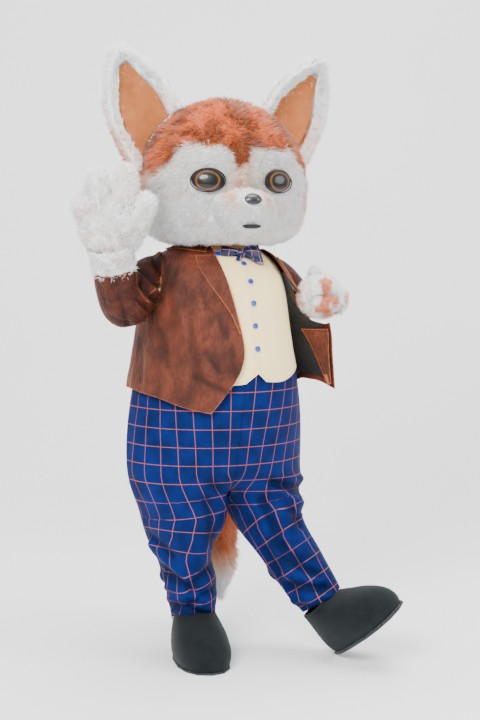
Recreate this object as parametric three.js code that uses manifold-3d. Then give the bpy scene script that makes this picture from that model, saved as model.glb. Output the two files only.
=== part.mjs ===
// Fox mascot costume: a plush head, a velvet jacket, a waistcoat with a bow tie, check trousers,
// plush paws, a tail and padded shoes, worn and hollow.
// Millimetres, +Z up, the front faces -Y and the wearer's left is +X.
// Heights are written above the ground under the standing shoe, and the whole group is then let
// down so that its origin is the point between the shoulders that holds the costume up.
import * as THREE from "three";
import { mergeVertices } from "three/addons/utils/BufferGeometryUtils.js";
import Module from "manifold-3d";

const wasm = await Module();
wasm.setup();

// Driving dimensions.
const HELD_HEIGHT = 1330; // point between the shoulders
const SEAM = 0.3; // open line between two sewn pieces
const TOUCH = 1.5; // room between two curved layers that rest on each other
const CUFF_ROOM = 0.6; // room between a cuff and what is in it
const TROUSER_CLOTH = 2;
const WAISTCOAT_CLOTH = 2.4;
const JACKET_CLOTH = 3;
const LINING_CLOTH = 3;
const SHIRT_CLOTH = 1.5;
const BAND_CLOTH = 1.2;
const HEAD_WALL = 30; // foam shell with its fur
const EAR_WALL = 24;
const GLOVE_WALL = 15;
const CUFF_DEPTH = 10; // how far a paw's cuff reaches into the sleeve
const WRIST_REACH = 60; // how far the cuff runs on into the palm
const BLOCK = 900; // side of the blocks that part a solid
const SHOE_WALL = 8;
const SOLE_THICKNESS = 12;
const NECK_HEIGHT = 1362; // top of the worn layers
const FLY_ANGLE = -6; // the hips are turned a little against the chest
const SIDE_ANGLE = 90;
const BUTTON_ANGLE = 3;
const ROUND_STEP = 15; // degrees between two lines of the round pieces
const HEAD_CENTRE = new THREE.Vector3(0, -55, 0);
const HEAD_TURN = -7;
const HEAD_RIM = 1375;
const SLEEVE_SIDES = 12; // flats round a sleeve and a cuff
const CHEEK_TOP = 1575;
const BROW_TOP = 1655;

const COLOURS = {
  furOrange: "#D98A5C",
  furWhite: "#F2EEE9",
  furPeach: "#EBC3A6",
  tan: "#B98A61",
  black: "#1B1B1D",
  eye: "#2A2320",
  velvet: "#5C3322",
  lining: "#1F1F22",
  cream: "#F1E4C3",
  blue: "#1F3F96",
  navy: "#1D3B8F",
  shoe: "#26292B",
  sole: "#1C1E20",
};

// Small helpers.
const rad = THREE.MathUtils.degToRad;
const lerp = THREE.MathUtils.lerp;
const vec = (x, y, z) => new THREE.Vector3(x, y, z);
const clamp01 = (t) => Math.min(1, Math.max(0, t));
const smooth = (t) => clamp01(t) ** 2 * (3 - 2 * clamp01(t));

// A row of a table, read at any place of its first column, on a smooth curve through the rows.
function readTable(table, key, at) {
  const last = table.length - 1;
  const rising = table[last][key] > table[0][key];
  const inside = (i) => (rising ? at <= table[i][key] : at >= table[i][key]);
  let i = 1;
  while (i < last && !inside(i)) i += 1;
  const a = table[i - 1];
  const b = table[i];
  const span = b[key] - a[key];
  const t = clamp01((at - a[key]) / span);
  const before = table[Math.max(0, i - 2)];
  const after = table[Math.min(last, i + 1)];
  const read = {};
  for (const name of Object.keys(a)) {
    const slope = (b[name] - a[name]) / span;
    const slopeIn = before === a ? slope : (b[name] - before[name]) / (b[key] - before[key]);
    const slopeOut = after === b ? slope : (after[name] - a[name]) / (after[key] - a[key]);
    const t2 = t * t;
    const t3 = t2 * t;
    read[name] =
      (2 * t3 - 3 * t2 + 1) * a[name] +
      (t3 - 2 * t2 + t) * span * slopeIn +
      (3 * t2 - 2 * t3) * b[name] +
      (t3 - t2) * span * slopeOut;
  }
  return read;
}

// Even steps from one value to another.
function steps(from, to, count) {
  return Array.from({ length: count + 1 }, (_, i) => from + ((to - from) * i) / count);
}

// Angles from one edge to another that keep to the common lines of the round pieces.
function roundSteps(from, to, step = ROUND_STEP) {
  const low = Math.min(from, to);
  const high = Math.max(from, to);
  const list = [low];
  for (let k = Math.ceil((low - FLY_ANGLE) / step); k * step + FLY_ANGLE < high; k += 1) {
    const angle = k * step + FLY_ANGLE;
    if (angle - low > step * 0.35 && high - angle > step * 0.35) list.push(angle);
  }
  list.push(high);
  return from < to ? list : list.reverse();
}

// Direction that a surface faces at one place; side is 1 or -1.
function facing(surface, u, v, side, du = 0.5, dv = 0.5) {
  const alongU = surface(u + du, v).sub(surface(u - du, v));
  const alongV = surface(u, v + dv).sub(surface(u, v - dv));
  return alongU.cross(alongV).normalize().multiplyScalar(side);
}

// A closed wall between two grids of points: outer[j][i] and inner[j][i].
// crossed(j, i) turns the diagonal of a square, as quilting needs.
function wallBetween(outer, inner, closed = false, crossed = () => false) {
  const rows = outer.length;
  const columns = outer[0].length;
  const positions = [];
  for (const p of [...outer.flat(), ...inner.flat()]) positions.push(p.x, p.y, p.z);
  const id = (sheet, j, i) => sheet * rows * columns + j * columns + (i % columns);
  const index = [];
  const quad = (a, b, c, d) => index.push(a, b, c, a, c, d);
  const last = closed ? columns : columns - 1;
  for (let j = 0; j < rows - 1; j += 1) {
    for (let i = 0; i < last; i += 1) {
      if (crossed(j, i)) quad(id(0, j, i + 1), id(0, j + 1, i + 1), id(0, j + 1, i), id(0, j, i));
      else quad(id(0, j, i), id(0, j, i + 1), id(0, j + 1, i + 1), id(0, j + 1, i));
      quad(id(1, j, i), id(1, j + 1, i), id(1, j + 1, i + 1), id(1, j, i + 1));
    }
  }
  for (let i = 0; i < last; i += 1) {
    quad(id(0, 0, i), id(1, 0, i), id(1, 0, i + 1), id(0, 0, i + 1));
    quad(id(0, rows - 1, i), id(0, rows - 1, i + 1), id(1, rows - 1, i + 1), id(1, rows - 1, i));
  }
  if (!closed) {
    for (let j = 0; j < rows - 1; j += 1) {
      quad(id(0, j, 0), id(0, j + 1, 0), id(1, j + 1, 0), id(1, j, 0));
      quad(id(0, j, last), id(1, j, last), id(1, j + 1, last), id(0, j + 1, last));
    }
  }
  return geometryOf(positions, index);
}

// A solid made of rings of points, closed by the middle of its first and last ring.
function filledRings(levels, angles, place) {
  const positions = [];
  const middles = [];
  for (const level of levels) {
    const ring = angles.map((angle) => place(angle, level));
    for (const p of ring) positions.push(p.x, p.y, p.z);
    middles.push(ring.reduce((sum, p) => sum.add(p), vec(0, 0, 0)).divideScalar(ring.length));
  }
  const end = middles[middles.length - 1];
  positions.push(middles[0].x, middles[0].y, middles[0].z, end.x, end.y, end.z);
  const index = [];
  const count = angles.length;
  const top = (levels.length - 1) * count;
  for (let i = 0; i < count; i += 1) {
    const next = (i + 1) % count;
    for (let j = 0; j < levels.length - 1; j += 1) {
      const a = j * count;
      index.push(a + i, a + next, a + next + count, a + i, a + next + count, a + i + count);
    }
    index.push(top + count, next, i, top + count + 1, top + i, top + next);
  }
  return geometryOf(positions, index);
}

// Angles once round, on the common lines.
const fullRound = (start, step) => steps(start, start + 360, 360 / step).slice(0, -1);

function geometryOf(positions, index) {
  const geometry = new THREE.BufferGeometry();
  geometry.setAttribute("position", new THREE.BufferAttribute(new Float32Array(positions), 3));
  geometry.setIndex(index);
  return turnedOut(geometry);
}

// Volume inside a closed geometry; it is below zero when the faces point inwards.
function volumeOf(geometry) {
  const p = geometry.attributes.position;
  const index = geometry.index.array;
  let sum = 0;
  const a = vec(0, 0, 0);
  const b = vec(0, 0, 0);
  const c = vec(0, 0, 0);
  for (let i = 0; i < index.length; i += 3) {
    a.fromBufferAttribute(p, index[i]);
    b.fromBufferAttribute(p, index[i + 1]);
    c.fromBufferAttribute(p, index[i + 2]);
    sum += a.dot(b.cross(c)) / 6;
  }
  return sum;
}

function turnedOut(geometry) {
  if (volumeOf(geometry) < 0) {
    const index = geometry.index.array;
    for (let i = 0; i < index.length; i += 3) {
      const kept = index[i];
      index[i] = index[i + 1];
      index[i + 1] = kept;
    }
  }
  return geometry;
}

// Cloth cut from a surface: grid[j][i] holds the [u, v] of each point. The outer face is moved
// out by lift, and the inner face lies one thickness under it.
function cloth({ surface, grid, thickness, side = 1, lift = 0, closed = false, du, dv }) {
  const outer = [];
  const inner = [];
  for (const row of grid) {
    const outerRow = [];
    const innerRow = [];
    for (const [u, v] of row) {
      const point = surface(u, v);
      const out = facing(surface, u, v, side, du, dv);
      outerRow.push(point.clone().addScaledVector(out, lift));
      innerRow.push(point.clone().addScaledVector(out, lift - thickness));
    }
    outer.push(outerRow);
    inner.push(innerRow);
  }
  return wallBetween(outer, inner, closed);
}

// A low pad on a surface: a dome over an oval of the surface.
function pad({ surface, at, radii, rise, edge, side = 1, lift = SEAM, count = 16, rings = 2, turn = 0 }) {
  const [u0, v0] = at;
  const perU = surface(u0 + 0.5, v0).distanceTo(surface(u0 - 0.5, v0));
  const perV = surface(u0, v0 + 0.5).distanceTo(surface(u0, v0 - 0.5));
  const positions = [];
  const place = (rho, angle, height) => {
    const x = rho * radii[0] * Math.cos(angle);
    const y = rho * radii[1] * Math.sin(angle);
    const u = u0 + (x * Math.cos(turn) - y * Math.sin(turn)) / perU;
    const v = v0 + (x * Math.sin(turn) + y * Math.cos(turn)) / perV;
    return surface(u, v).addScaledVector(facing(surface, u, v, side), height);
  };
  const index = [];
  const push = (p) => positions.push(p.x, p.y, p.z) / 3 - 1;
  const layers = [];
  for (const top of [true, false]) {
    const height = (rho) => (top ? lift + edge + rise * Math.sqrt(1 - rho * rho * 0.999) : lift);
    const centre = push(place(0, 0, height(0)));
    const ringIds = [];
    const turns = steps(0, 2 * Math.PI, count).slice(0, -1);
    for (let k = 1; k <= rings; k += 1) {
      const rho = k / rings;
      ringIds.push(turns.map((a) => push(place(rho, a, height(rho)))));
    }
    layers.push({ centre, ringIds, top });
  }
  for (const { centre, ringIds, top } of layers) {
    const tri = (a, b, c) => (top ? index.push(a, b, c) : index.push(a, c, b));
    for (let i = 0; i < count; i += 1) {
      const next = (i + 1) % count;
      tri(centre, ringIds[0][i], ringIds[0][next]);
      for (let k = 1; k < rings; k += 1) {
        tri(ringIds[k - 1][i], ringIds[k][i], ringIds[k][next]);
        tri(ringIds[k - 1][i], ringIds[k][next], ringIds[k - 1][next]);
      }
    }
  }
  const upper = layers[0].ringIds[rings - 1];
  const lower = layers[1].ringIds[rings - 1];
  for (let i = 0; i < count; i += 1) {
    const next = (i + 1) % count;
    index.push(upper[i], lower[i], lower[next], upper[i], lower[next], upper[next]);
  }
  return geometryOf(positions, index);
}

// A solid through oval sections; each section has a centre and two half-width vectors.
function loft(sections, count = 16, power = 1) {
  const positions = [];
  const bend = (t) => Math.sign(t) * Math.abs(t) ** power;
  for (const { centre, across, up } of sections) {
    for (let i = 0; i < count; i += 1) {
      const angle = (2 * Math.PI * i) / count;
      const p = centre.clone();
      p.addScaledVector(across, bend(Math.cos(angle)));
      p.addScaledVector(up, bend(Math.sin(angle)));
      positions.push(p.x, p.y, p.z);
    }
  }
  const first = positions.length / 3;
  const start = sections[0].centre;
  const end = sections[sections.length - 1].centre;
  positions.push(start.x, start.y, start.z, end.x, end.y, end.z);
  const index = [];
  for (let j = 0; j < sections.length - 1; j += 1) {
    for (let i = 0; i < count; i += 1) {
      const a = j * count + i;
      const b = j * count + ((i + 1) % count);
      index.push(a, b, b + count, a, b + count, a + count);
    }
  }
  const top = (sections.length - 1) * count;
  for (let i = 0; i < count; i += 1) {
    const next = (i + 1) % count;
    index.push(first, next, i);
    index.push(first + 1, top + i, top + next);
  }
  return geometryOf(positions, index);
}

// A finger from one point to another, round at its far end.
function finger(from, to, radiusFrom, radiusTo, count = 10) {
  const along = to.clone().sub(from).normalize();
  const across = vec(0, 1, 0).cross(along).normalize();
  const up = along.clone().cross(across);
  const sections = [];
  const add = (centre, radius) => {
    const [wide, high] = [across, up].map((way) => way.clone().multiplyScalar(radius));
    sections.push({ centre, across: wide, up: high });
  };
  const roundEnd = (centre, radius, angle) =>
    add(centre.clone().addScaledVector(along, radius * Math.sin(rad(angle))), radius * Math.cos(rad(angle)));
  add(from.clone(), radiusFrom);
  add(to.clone(), radiusTo);
  roundEnd(to, radiusTo, 40);
  roundEnd(to, radiusTo, 76);
  return loft(sections, count);
}

// Boolean work.
function solidFrom(geometry) {
  const bare = geometry.clone();
  bare.deleteAttribute("normal");
  bare.deleteAttribute("uv");
  const merged = mergeVertices(bare, 1e-4);
  return new wasm.Manifold(
    new wasm.Mesh({
      numProp: 3,
      vertProperties: merged.attributes.position.array,
      triVerts: new Uint32Array(merged.index.array),
    }),
  );
}

function geometryFrom(solid) {
  const mesh = solid.getMesh();
  return geometryOf(Array.from(mesh.vertProperties), Array.from(mesh.triVerts));
}

// The largest body of a solid, so that no loose crumb is left by a cut.
function mainBody(solid) {
  const bodies = solid.decompose();
  bodies.sort((a, b) => b.volume() - a.volume());
  return bodies[0];
}

function cut(geometry, ...cutters) {
  let solid = solidFrom(geometry);
  for (const cutter of cutters) solid = solid.subtract(solidFrom(cutter));
  return geometryFrom(mainBody(solid));
}

function joined(geometries) {
  return geometries.map(solidFrom).reduce((a, b) => a.add(b));
}

// The figure that carries the clothes: half-width, front and back depth at each height.
const FIGURE = [
  { height: 1370, side: 96, front: 100, back: 90 },
  { height: 1362, side: 122, front: 124, back: 112 },
  { height: 1348, side: 160, front: 150, back: 134 },
  { height: 1328, side: 188, front: 184, back: 154 },
  { height: 1300, side: 208, front: 220, back: 172 },
  { height: 1255, side: 221, front: 258, back: 186 },
  { height: 1180, side: 228, front: 281, back: 200 },
  { height: 1110, side: 236, front: 292, back: 210 },
  { height: 1030, side: 250, front: 309, back: 216 },
  { height: 950, side: 268, front: 313, back: 220 },
  { height: 850, side: 288, front: 298, back: 222 },
  { height: 740, side: 300, front: 268, back: 222 },
  { height: 640, side: 300, front: 245, back: 215 },
  { height: 560, side: 296, front: 232, back: 205 },
  { height: 470, side: 290, front: 215, back: 190 },
];
const FIGURE_MIDDLE = -8;

function oval(row, angle, middleX, middleY, height) {
  const c = Math.cos(rad(angle));
  const s = Math.sin(rad(angle));
  return vec(middleX + row.side * s, middleY - (c > 0 ? row.front : row.back) * c, height);
}

const figure = (angle, height) => oval(readTable(FIGURE, "height", height), angle, FIGURE_MIDDLE, 0, height);
const outwards = (angle, height) => facing(figure, angle, height, 1);
const overFigure = (lift) => (angle, height) =>
  figure(angle, height).addScaledVector(outwards(angle, height), lift(angle, height));

// Heights of the lines that all layers of the chest share.
const CHEST_LEVELS = [1150, 1215, 1262, 1300, 1328, 1346, 1359];
const CHEST_TOP = CHEST_LEVELS[CHEST_LEVELS.length - 1];
const SHIRT_SHOULDER = 1366; // where the shirt neck turns up

// Waistcoat and shirt.
const WAISTCOAT_LIFT = TOUCH + WAISTCOAT_CLOTH;
const waistcoatSurface = overFigure(() => WAISTCOAT_LIFT);
const WAISTCOAT_SIDE_HEM = 985;
const WAISTCOAT_HEM = [
  { angle: -90, height: WAISTCOAT_SIDE_HEM },
  { angle: -60, height: 982 },
  { angle: -12, height: 918 },
  { angle: 3, height: 970 },
  { angle: 14, height: 922 },
  { angle: 59, height: 982 },
  { angle: 90, height: WAISTCOAT_SIDE_HEM },
];

// Straight line through the rows, for edges with corners.
function readEdge(table, key, at, name) {
  let i = 1;
  while (i < table.length - 1 && at > table[i][key]) i += 1;
  const a = table[i - 1];
  const b = table[i];
  return lerp(a[name], b[name], clamp01((at - a[key]) / (b[key] - a[key])));
}

function waistcoatPiece(from, to) {
  const angles = roundSteps(from, to);
  const frontHem = (angle) => readEdge(WAISTCOAT_HEM, "angle", angle, "height");
  const hemAt = (angle) => (Math.abs(angle) > SIDE_ANGLE ? WAISTCOAT_SIDE_HEM : frontHem(angle));
  const lower = [0, 0.2, 0.42, 0.7, 1].map((t) =>
    angles.map((angle) => [angle, lerp(hemAt(angle), CHEST_LEVELS[0], t)]),
  );
  const upper = CHEST_LEVELS.slice(1).map((height) => angles.map((angle) => [angle, height]));
  return cloth({ surface: waistcoatSurface, grid: [...lower, ...upper], thickness: WAISTCOAT_CLOTH });
}

const COLLAR_TOP = 1361;
const SEAM_ANGLE = 0.05; // half of a seam, in degrees round the figure

function armholeCutter(sideSign, radius) {
  const inside = vec(sideSign * 95, 10, 1262);
  const outside = vec(sideSign * 330, 10, 1282);
  const across = vec(0, radius, 0);
  const up = vec(0, 0, radius * 1.05);
  return loft([inside, outside].map((centre) => ({ centre, across, up })), 10);
}

// Jacket.
const JACKET_EASE = [
  { height: 1370, side: 7.7, front: 10, back: 7.7 },
  { height: 1348, side: 7.7, front: 10, back: 7.7 },
  { height: 1300, side: 9, front: 11, back: 8.6 },
  { height: 1255, side: 14, front: 10, back: 11 },
  { height: 1180, side: 22, front: 13, back: 14 },
  { height: 1110, side: 27, front: 15, back: 17 },
  { height: 1030, side: 26, front: 17, back: 20 },
  { height: 950, side: 22, front: 20, back: 23 },
  { height: 850, side: 16, front: 26, back: 27 },
];

function jacketEase(angle, height) {
  const row = readTable(JACKET_EASE, "height", height);
  const c = Math.cos(rad(angle));
  const s = Math.sin(rad(angle));
  const frontRoom = angle > 90 || angle < -90 ? 0 : 1.6 * smooth((SIDE_ANGLE - Math.abs(angle)) / 12);
  return s * s * row.side + c * c * (c > 0 ? row.front : row.back) + frontRoom;
}

// Soft troughs and ridges: place on the surface, length and width in its own units, turn, depth.
function foldDepth(folds, u, v) {
  let sum = 0;
  for (const f of folds) {
    const c = Math.cos(rad(f.turn));
    const s = Math.sin(rad(f.turn));
    const x = u - f.u;
    const y = v - f.v;
    const along = (x * c + y * s) / f.length;
    const over = (-x * s + y * c) / f.width;
    sum += f.depth * Math.exp(-along * along - over * over);
  }
  return sum;
}

const JACKET_FOLDS = [
  { u: -75, v: 1060, length: 90, width: 9, turn: 80, depth: -7 },
  { u: -50, v: 960, length: 80, width: 9, turn: 95, depth: -5 },
  { u: -120, v: 960, length: 90, width: 10, turn: 90, depth: 7 },
  { u: -155, v: 980, length: 110, width: 9, turn: 88, depth: -8 },
  { u: -190, v: 950, length: 90, width: 10, turn: 92, depth: 7 },
  { u: -228, v: 980, length: 100, width: 9, turn: 90, depth: -7 },
];

const jacketSurface = overFigure((angle, height) => {
  const fold = foldDepth(JACKET_FOLDS, angle > 90 ? angle - 360 : angle, height);
  return jacketEase(angle, height) + fold * smooth((1300 - height) / 150);
});

const RIGHT_FRONT_EDGE = [
  { height: 850, angle: -26 },
  { height: 1000, angle: -6.5 },
  { height: 1080, angle: -8 },
  { height: 1192, angle: -13 },
  { height: 1284, angle: -18 },
  { height: 1344, angle: -22 },
  { height: 1362, angle: -30 },
];
const RIGHT_HEM = [
  { part: 0, height: 852 },
  { part: 0.3, height: 866 },
  { part: 0.55, height: 890 },
  { part: 1, height: 908 },
];
const BACK_HEM = 908;

function jacketRightFront() {
  const parts = [0, 0.1, 0.26, 0.42, 0.57, 0.71, 0.86, 1];
  const place = (part, height) => {
    const edge = readEdge(RIGHT_FRONT_EDGE, "height", height, "angle");
    return [lerp(edge, -SIDE_ANGLE + SEAM_ANGLE, part), height];
  };
  const hemAt = (part) => readEdge(RIGHT_HEM, "part", part, "height");
  const lower = steps(0, 1, 5).map((t) =>
    parts.map((part) => place(part, lerp(hemAt(part), CHEST_LEVELS[0], t))),
  );
  const upper = CHEST_LEVELS.slice(1).map((height) => parts.map((part) => place(part, height)));
  return cloth({ surface: jacketSurface, grid: [...lower, ...upper], thickness: JACKET_CLOTH });
}

function jacketBack() {
  const angles = roundSteps(-270 + SEAM_ANGLE, -90 - SEAM_ANGLE);
  const levels = [...steps(BACK_HEM, CHEST_LEVELS[0], 4), ...CHEST_LEVELS.slice(1)];
  const grid = levels.map((height) => angles.map((angle) => [angle, height]));
  return cloth({ surface: jacketSurface, grid, thickness: JACKET_CLOTH });
}

// The left front is pulled open by the paw: where the cloth passes at three places of each height.
const LEFT_FRONT = [
  { height: 1362, closeX: 139, closeY: -40, midX: 134, midY: -70, foldX: 122, foldY: -98 },
  { height: 1344, closeX: 170, closeY: -68, midX: 156, midY: -110, foldX: 136, foldY: -142 },
  { height: 1316, closeX: 190, closeY: -95, midX: 168, midY: -142, foldX: 146, foldY: -176 },
  { height: 1270, closeX: 217, closeY: -105, midX: 196, midY: -155, foldX: 172, foldY: -194 },
  { height: 1236, closeX: 224, closeY: -105, midX: 214, midY: -150, foldX: 198, foldY: -194 },
  { height: 1190, closeX: 232, closeY: -90, midX: 238, midY: -140, foldX: 250, foldY: -196 },
  { height: 1121, closeX: 250, closeY: -60, midX: 276, midY: -122, foldX: 318, foldY: -202 },
  { height: 1018, closeX: 274, closeY: -60, midX: 298, midY: -130, foldX: 326, foldY: -210 },
  { height: 905, closeX: 288, closeY: -60, midX: 306, midY: -136, foldX: 331, foldY: -218 },
];
const LEFT_HEM = [
  { part: 0, height: 908 },
  { part: 0.4, height: 930 },
  { part: 0.75, height: 925 },
  { part: 1, height: 902 },
];

// part runs from 0 at the side seam to 1 at the front edge.
function leftFrontSurface(part, height) {
  const row = readTable(LEFT_FRONT, "height", height);
  const level = 2 * height - jacketSurface(SIDE_ANGLE, height).z;
  const seam = jacketSurface(SIDE_ANGLE, level);
  const seamLead = jacketSurface(SIDE_ANGLE + 12, level);
  const points = [
    vec(seamLead.x, seamLead.y, 0),
    vec(seam.x, seam.y, 0),
    vec(row.closeX, row.closeY, 0),
    vec(row.midX, row.midY, 0),
    vec(row.foldX, row.foldY, 0),
    vec(2 * row.foldX - row.midX, 2 * row.foldY - row.midY, 0),
  ];
  const spot = clamp01(part) * 3;
  const k = Math.min(2, Math.floor(spot));
  const t = spot - k;
  const [a, b, c, d] = points.slice(k, k + 4);
  const p = b.clone().multiplyScalar(2);
  p.addScaledVector(c.clone().sub(a), t);
  p.addScaledVector(a.clone().multiplyScalar(2).addScaledVector(b, -5).addScaledVector(c, 4).sub(d), t * t);
  p.addScaledVector(b.clone().multiplyScalar(3).sub(a).addScaledVector(c, -3).add(d), t * t * t);
  p.multiplyScalar(0.5);
  if (part < 0) p.addScaledVector(seamLead.clone().sub(seam).setZ(0), -part * 3);
  if (part > 1) p.addScaledVector(vec(row.foldX - row.midX, row.foldY - row.midY, 0), (part - 1) * 3);
  return vec(p.x, p.y, height);
}

const LEFT_COLUMNS = 10;
const LEFT_LOW_ROWS = 8; // even rows from the hem to the first of the upper heights
const LEFT_TOP = [1250, 1286, 1313, 1334, 1348, 1359];
const LEFT_ROWS = LEFT_LOW_ROWS + LEFT_TOP.length - 1;
const QUILT_RISE = 2.4;
const LINING_ROOM = 1.5; // between the velvet and its lining

const leftFrontPlace = (column, row) => {
  const part = column / LEFT_COLUMNS;
  if (row > LEFT_LOW_ROWS) return [part, LEFT_TOP[row - LEFT_LOW_ROWS]];
  return [part, lerp(readEdge(LEFT_HEM, "part", part, "height"), LEFT_TOP[0], row / LEFT_LOW_ROWS)];
};

function leftFrontPiece() {
  const grid = steps(0, LEFT_ROWS, LEFT_ROWS).map((row) =>
    steps(0.006, LEFT_COLUMNS, LEFT_COLUMNS).map((column) => leftFrontPlace(column, row)),
  );
  return cloth({ surface: leftFrontSurface, grid, thickness: JACKET_CLOTH, side: -1, du: 0.01, dv: 0.5 });
}

// Point on the inner face of the left front, on the flat between its own lines.
function leftFrontInside(column, row, height) {
  const i = Math.min(LEFT_COLUMNS - 1, Math.floor(column));
  const j = Math.min(LEFT_ROWS - 1, Math.floor(row));
  const corner = (a, b) => {
    const [u, v] = leftFrontPlace(a, b);
    const inwards = facing(leftFrontSurface, u, v, 1, 0.01, 0.5);
    return leftFrontSurface(u, v).addScaledVector(inwards, JACKET_CLOTH + height);
  };
  const near = corner(i, j).lerp(corner(i + 1, j), column - i);
  const far = corner(i, j + 1).lerp(corner(i + 1, j + 1), column - i);
  return near.lerp(far, row - j);
}

// Quilting: a diamond is two columns wide and one row high, and its middle is raised.
function quiltedLining() {
  const columns = steps(1, 9, 8);
  const rows = steps(0.5, 9, 17);
  const raised = (i, j) => ((i + j) % 2 ? QUILT_RISE : 0);
  const sheet = (height) =>
    rows.map((row, j) => columns.map((column, i) => leftFrontInside(column, row, height(i, j))));
  const inner = sheet(() => LINING_ROOM);
  const outer = sheet((i, j) => LINING_ROOM + LINING_CLOTH + raised(i, j));
  return wallBetween(outer, inner, false, (j, i) => (i + j) % 2 === 1);
}

// The turned-back front edge below the paw: its width at each height.
const TURNED_EDGE = [
  { height: 918, width: 4 },
  { height: 1018, width: 52 },
  { height: 1110, width: 104 },
];

function turnedFrontEdge() {
  const grid = steps(918, 1100, 6).map((height) =>
    steps(0, 1, 4).map((part) => [part, height]),
  );
  const surface = (part, height) => {
    const row = readTable(TURNED_EDGE, "height", height);
    const fold = leftFrontSurface(0.985, height);
    const back = leftFrontSurface(0.9, height).sub(fold).normalize();
    const inwards = facing(leftFrontSurface, 0.985, height, 1, 0.01, 0.5);
    const layers = JACKET_CLOTH + LINING_ROOM + LINING_CLOTH + QUILT_RISE;
    const clear = layers + 1 + 12 * Math.sin(Math.PI * part * 0.6);
    return fold.addScaledVector(back, part * row.width).addScaledVector(inwards, clear + JACKET_CLOTH);
  };
  return cloth({ surface, grid, thickness: JACKET_CLOTH, side: 1, du: 0.01, dv: 0.5 });
}

// Collar and lapels lie on the jacket.
const LAPEL_ROOM = 1.4;

function jacketCollar() {
  const angles = roundSteps(-269, -30);
  const lower = (angle) => (angle > -62 ? lerp(1336, 1349, (-30 - angle) / 32) : 1349);
  const grid = steps(0, 1, 2).map((t) =>
    angles.map((angle) => [angle, lerp(lower(angle), COLLAR_TOP, t)]),
  );
  return cloth({
    surface: jacketSurface,
    grid,
    thickness: JACKET_CLOTH,
    lift: LAPEL_ROOM + JACKET_CLOTH,
  });
}

const RIGHT_LAPEL = [
  { height: 1090, outer: -10.5 },
  { height: 1152, outer: -15.5 },
  { height: 1220, outer: -26 },
  { height: 1288, outer: -37 },
  { height: 1326, outer: -40 },
];

function rightLapel() {
  const grid = steps(RIGHT_LAPEL[0].height, RIGHT_LAPEL[RIGHT_LAPEL.length - 1].height, 8).map((height) => {
    const edge = readEdge(RIGHT_FRONT_EDGE, "height", height, "angle") - 0.4;
    const outer = readEdge(RIGHT_LAPEL, "height", height, "outer");
    return steps(outer, edge, 3).map((angle) => [angle, height]);
  });
  return cloth({ surface: jacketSurface, grid, thickness: JACKET_CLOTH, lift: LAPEL_ROOM + JACKET_CLOTH });
}

function leftLapel() {
  const grid = steps(1236, 1330, 5).map((height) =>
    steps(0.72, 0.985, 3).map((part) => [part, height]),
  );
  return cloth({
    surface: leftFrontSurface,
    grid,
    thickness: JACKET_CLOTH,
    side: -1,
    lift: LAPEL_ROOM + JACKET_CLOTH,
    du: 0.01,
    dv: 0.5,
  });
}

// Sleeves: centre and radius along each arm.
const RIGHT_ARM = [
  { x: -112, y: 14, z: 1288, radius: 42 },
  { x: -168, y: 12, z: 1286, radius: 64 },
  { x: -240, y: -12, z: 1262, radius: 74 },
  { x: -302, y: -56, z: 1212, radius: 74 },
  { x: -340, y: -96, z: 1172, radius: 74 },
  { x: -370, y: -125, z: 1188, radius: 74 },
  { x: -398, y: -148, z: 1240, radius: 69 },
  { x: -414, y: -166, z: 1298, radius: 67 },
];
const LEFT_ARM = [
  { x: 112, y: 14, z: 1288, radius: 42 },
  { x: 166, y: 18, z: 1286, radius: 62 },
  { x: 240, y: 44, z: 1258, radius: 74 },
  { x: 304, y: 62, z: 1212, radius: 70 },
  { x: 348, y: 44, z: 1188, radius: 61 },
  { x: 366, y: -4, z: 1184, radius: 60 },
  { x: 358, y: -56, z: 1190, radius: 61 },
  { x: 334, y: -108, z: 1198, radius: 62 },
];

// Frames along an arm that turn no more than the arm itself does.
function armFrames(rows, count) {
  const path = new THREE.CatmullRomCurve3(rows.map((r) => vec(r.x, r.y, r.z)), false, "centripetal");
  const kept = vec(0, 1, 0);
  return steps(0, 1, count).map((t) => {
    const centre = path.getPoint(t);
    const along = path.getTangent(t);
    kept.addScaledVector(along, -along.dot(kept)).normalize();
    const across = kept.clone();
    const up = along.clone().cross(across);
    const spot = t * (rows.length - 1);
    const k = Math.min(rows.length - 2, Math.floor(spot));
    const radius = lerp(rows[k].radius, rows[k + 1].radius, smooth(spot - k));
    return { centre, across, up, along, radius };
  });
}

function frameAt(frames, v) {
  const k = Math.min(frames.length - 2, Math.max(0, Math.floor(v)));
  const t = v - k;
  const a = frames[k];
  const b = frames[k + 1];
  return {
    centre: a.centre.clone().lerp(b.centre, t),
    across: a.across.clone().lerp(b.across, t).normalize(),
    up: a.up.clone().lerp(b.up, t).normalize(),
    radius: lerp(a.radius, b.radius, t),
  };
}

const SLEEVE_ROWS = 15;
const SHOULDER_ROOM = 0.6; // between the set-in end of a sleeve and the jacket's face
const SLEEVE_FOLDS = [
  { u: 90, v: 8, length: 70, width: 0.6, turn: 0, depth: -7 },
  { u: 100, v: 9.4, length: 60, width: 0.6, turn: 0.4, depth: -7 },
  { u: 200, v: 7, length: 60, width: 0.7, turn: -0.4, depth: -6 },
  { u: 290, v: 10.5, length: 50, width: 0.8, turn: 0.4, depth: 4 },
  { u: 200, v: 12, length: 70, width: 0.8, turn: 0.3, depth: -4 },
];

function sleeveSurface(frames, extra = 0) {
  return (angle, v) => {
    const f = frameAt(frames, v);
    const depth = foldDepth(SLEEVE_FOLDS, ((angle % 360) + 360) % 360, v) * smooth((SLEEVE_ROWS - v) / 3);
    const reach = f.radius + depth + extra;
    const p = f.centre.clone();
    p.addScaledVector(f.across, reach * Math.cos(rad(angle)));
    p.addScaledVector(f.up, reach * Math.sin(rad(angle)));
    return p;
  };
}

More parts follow.
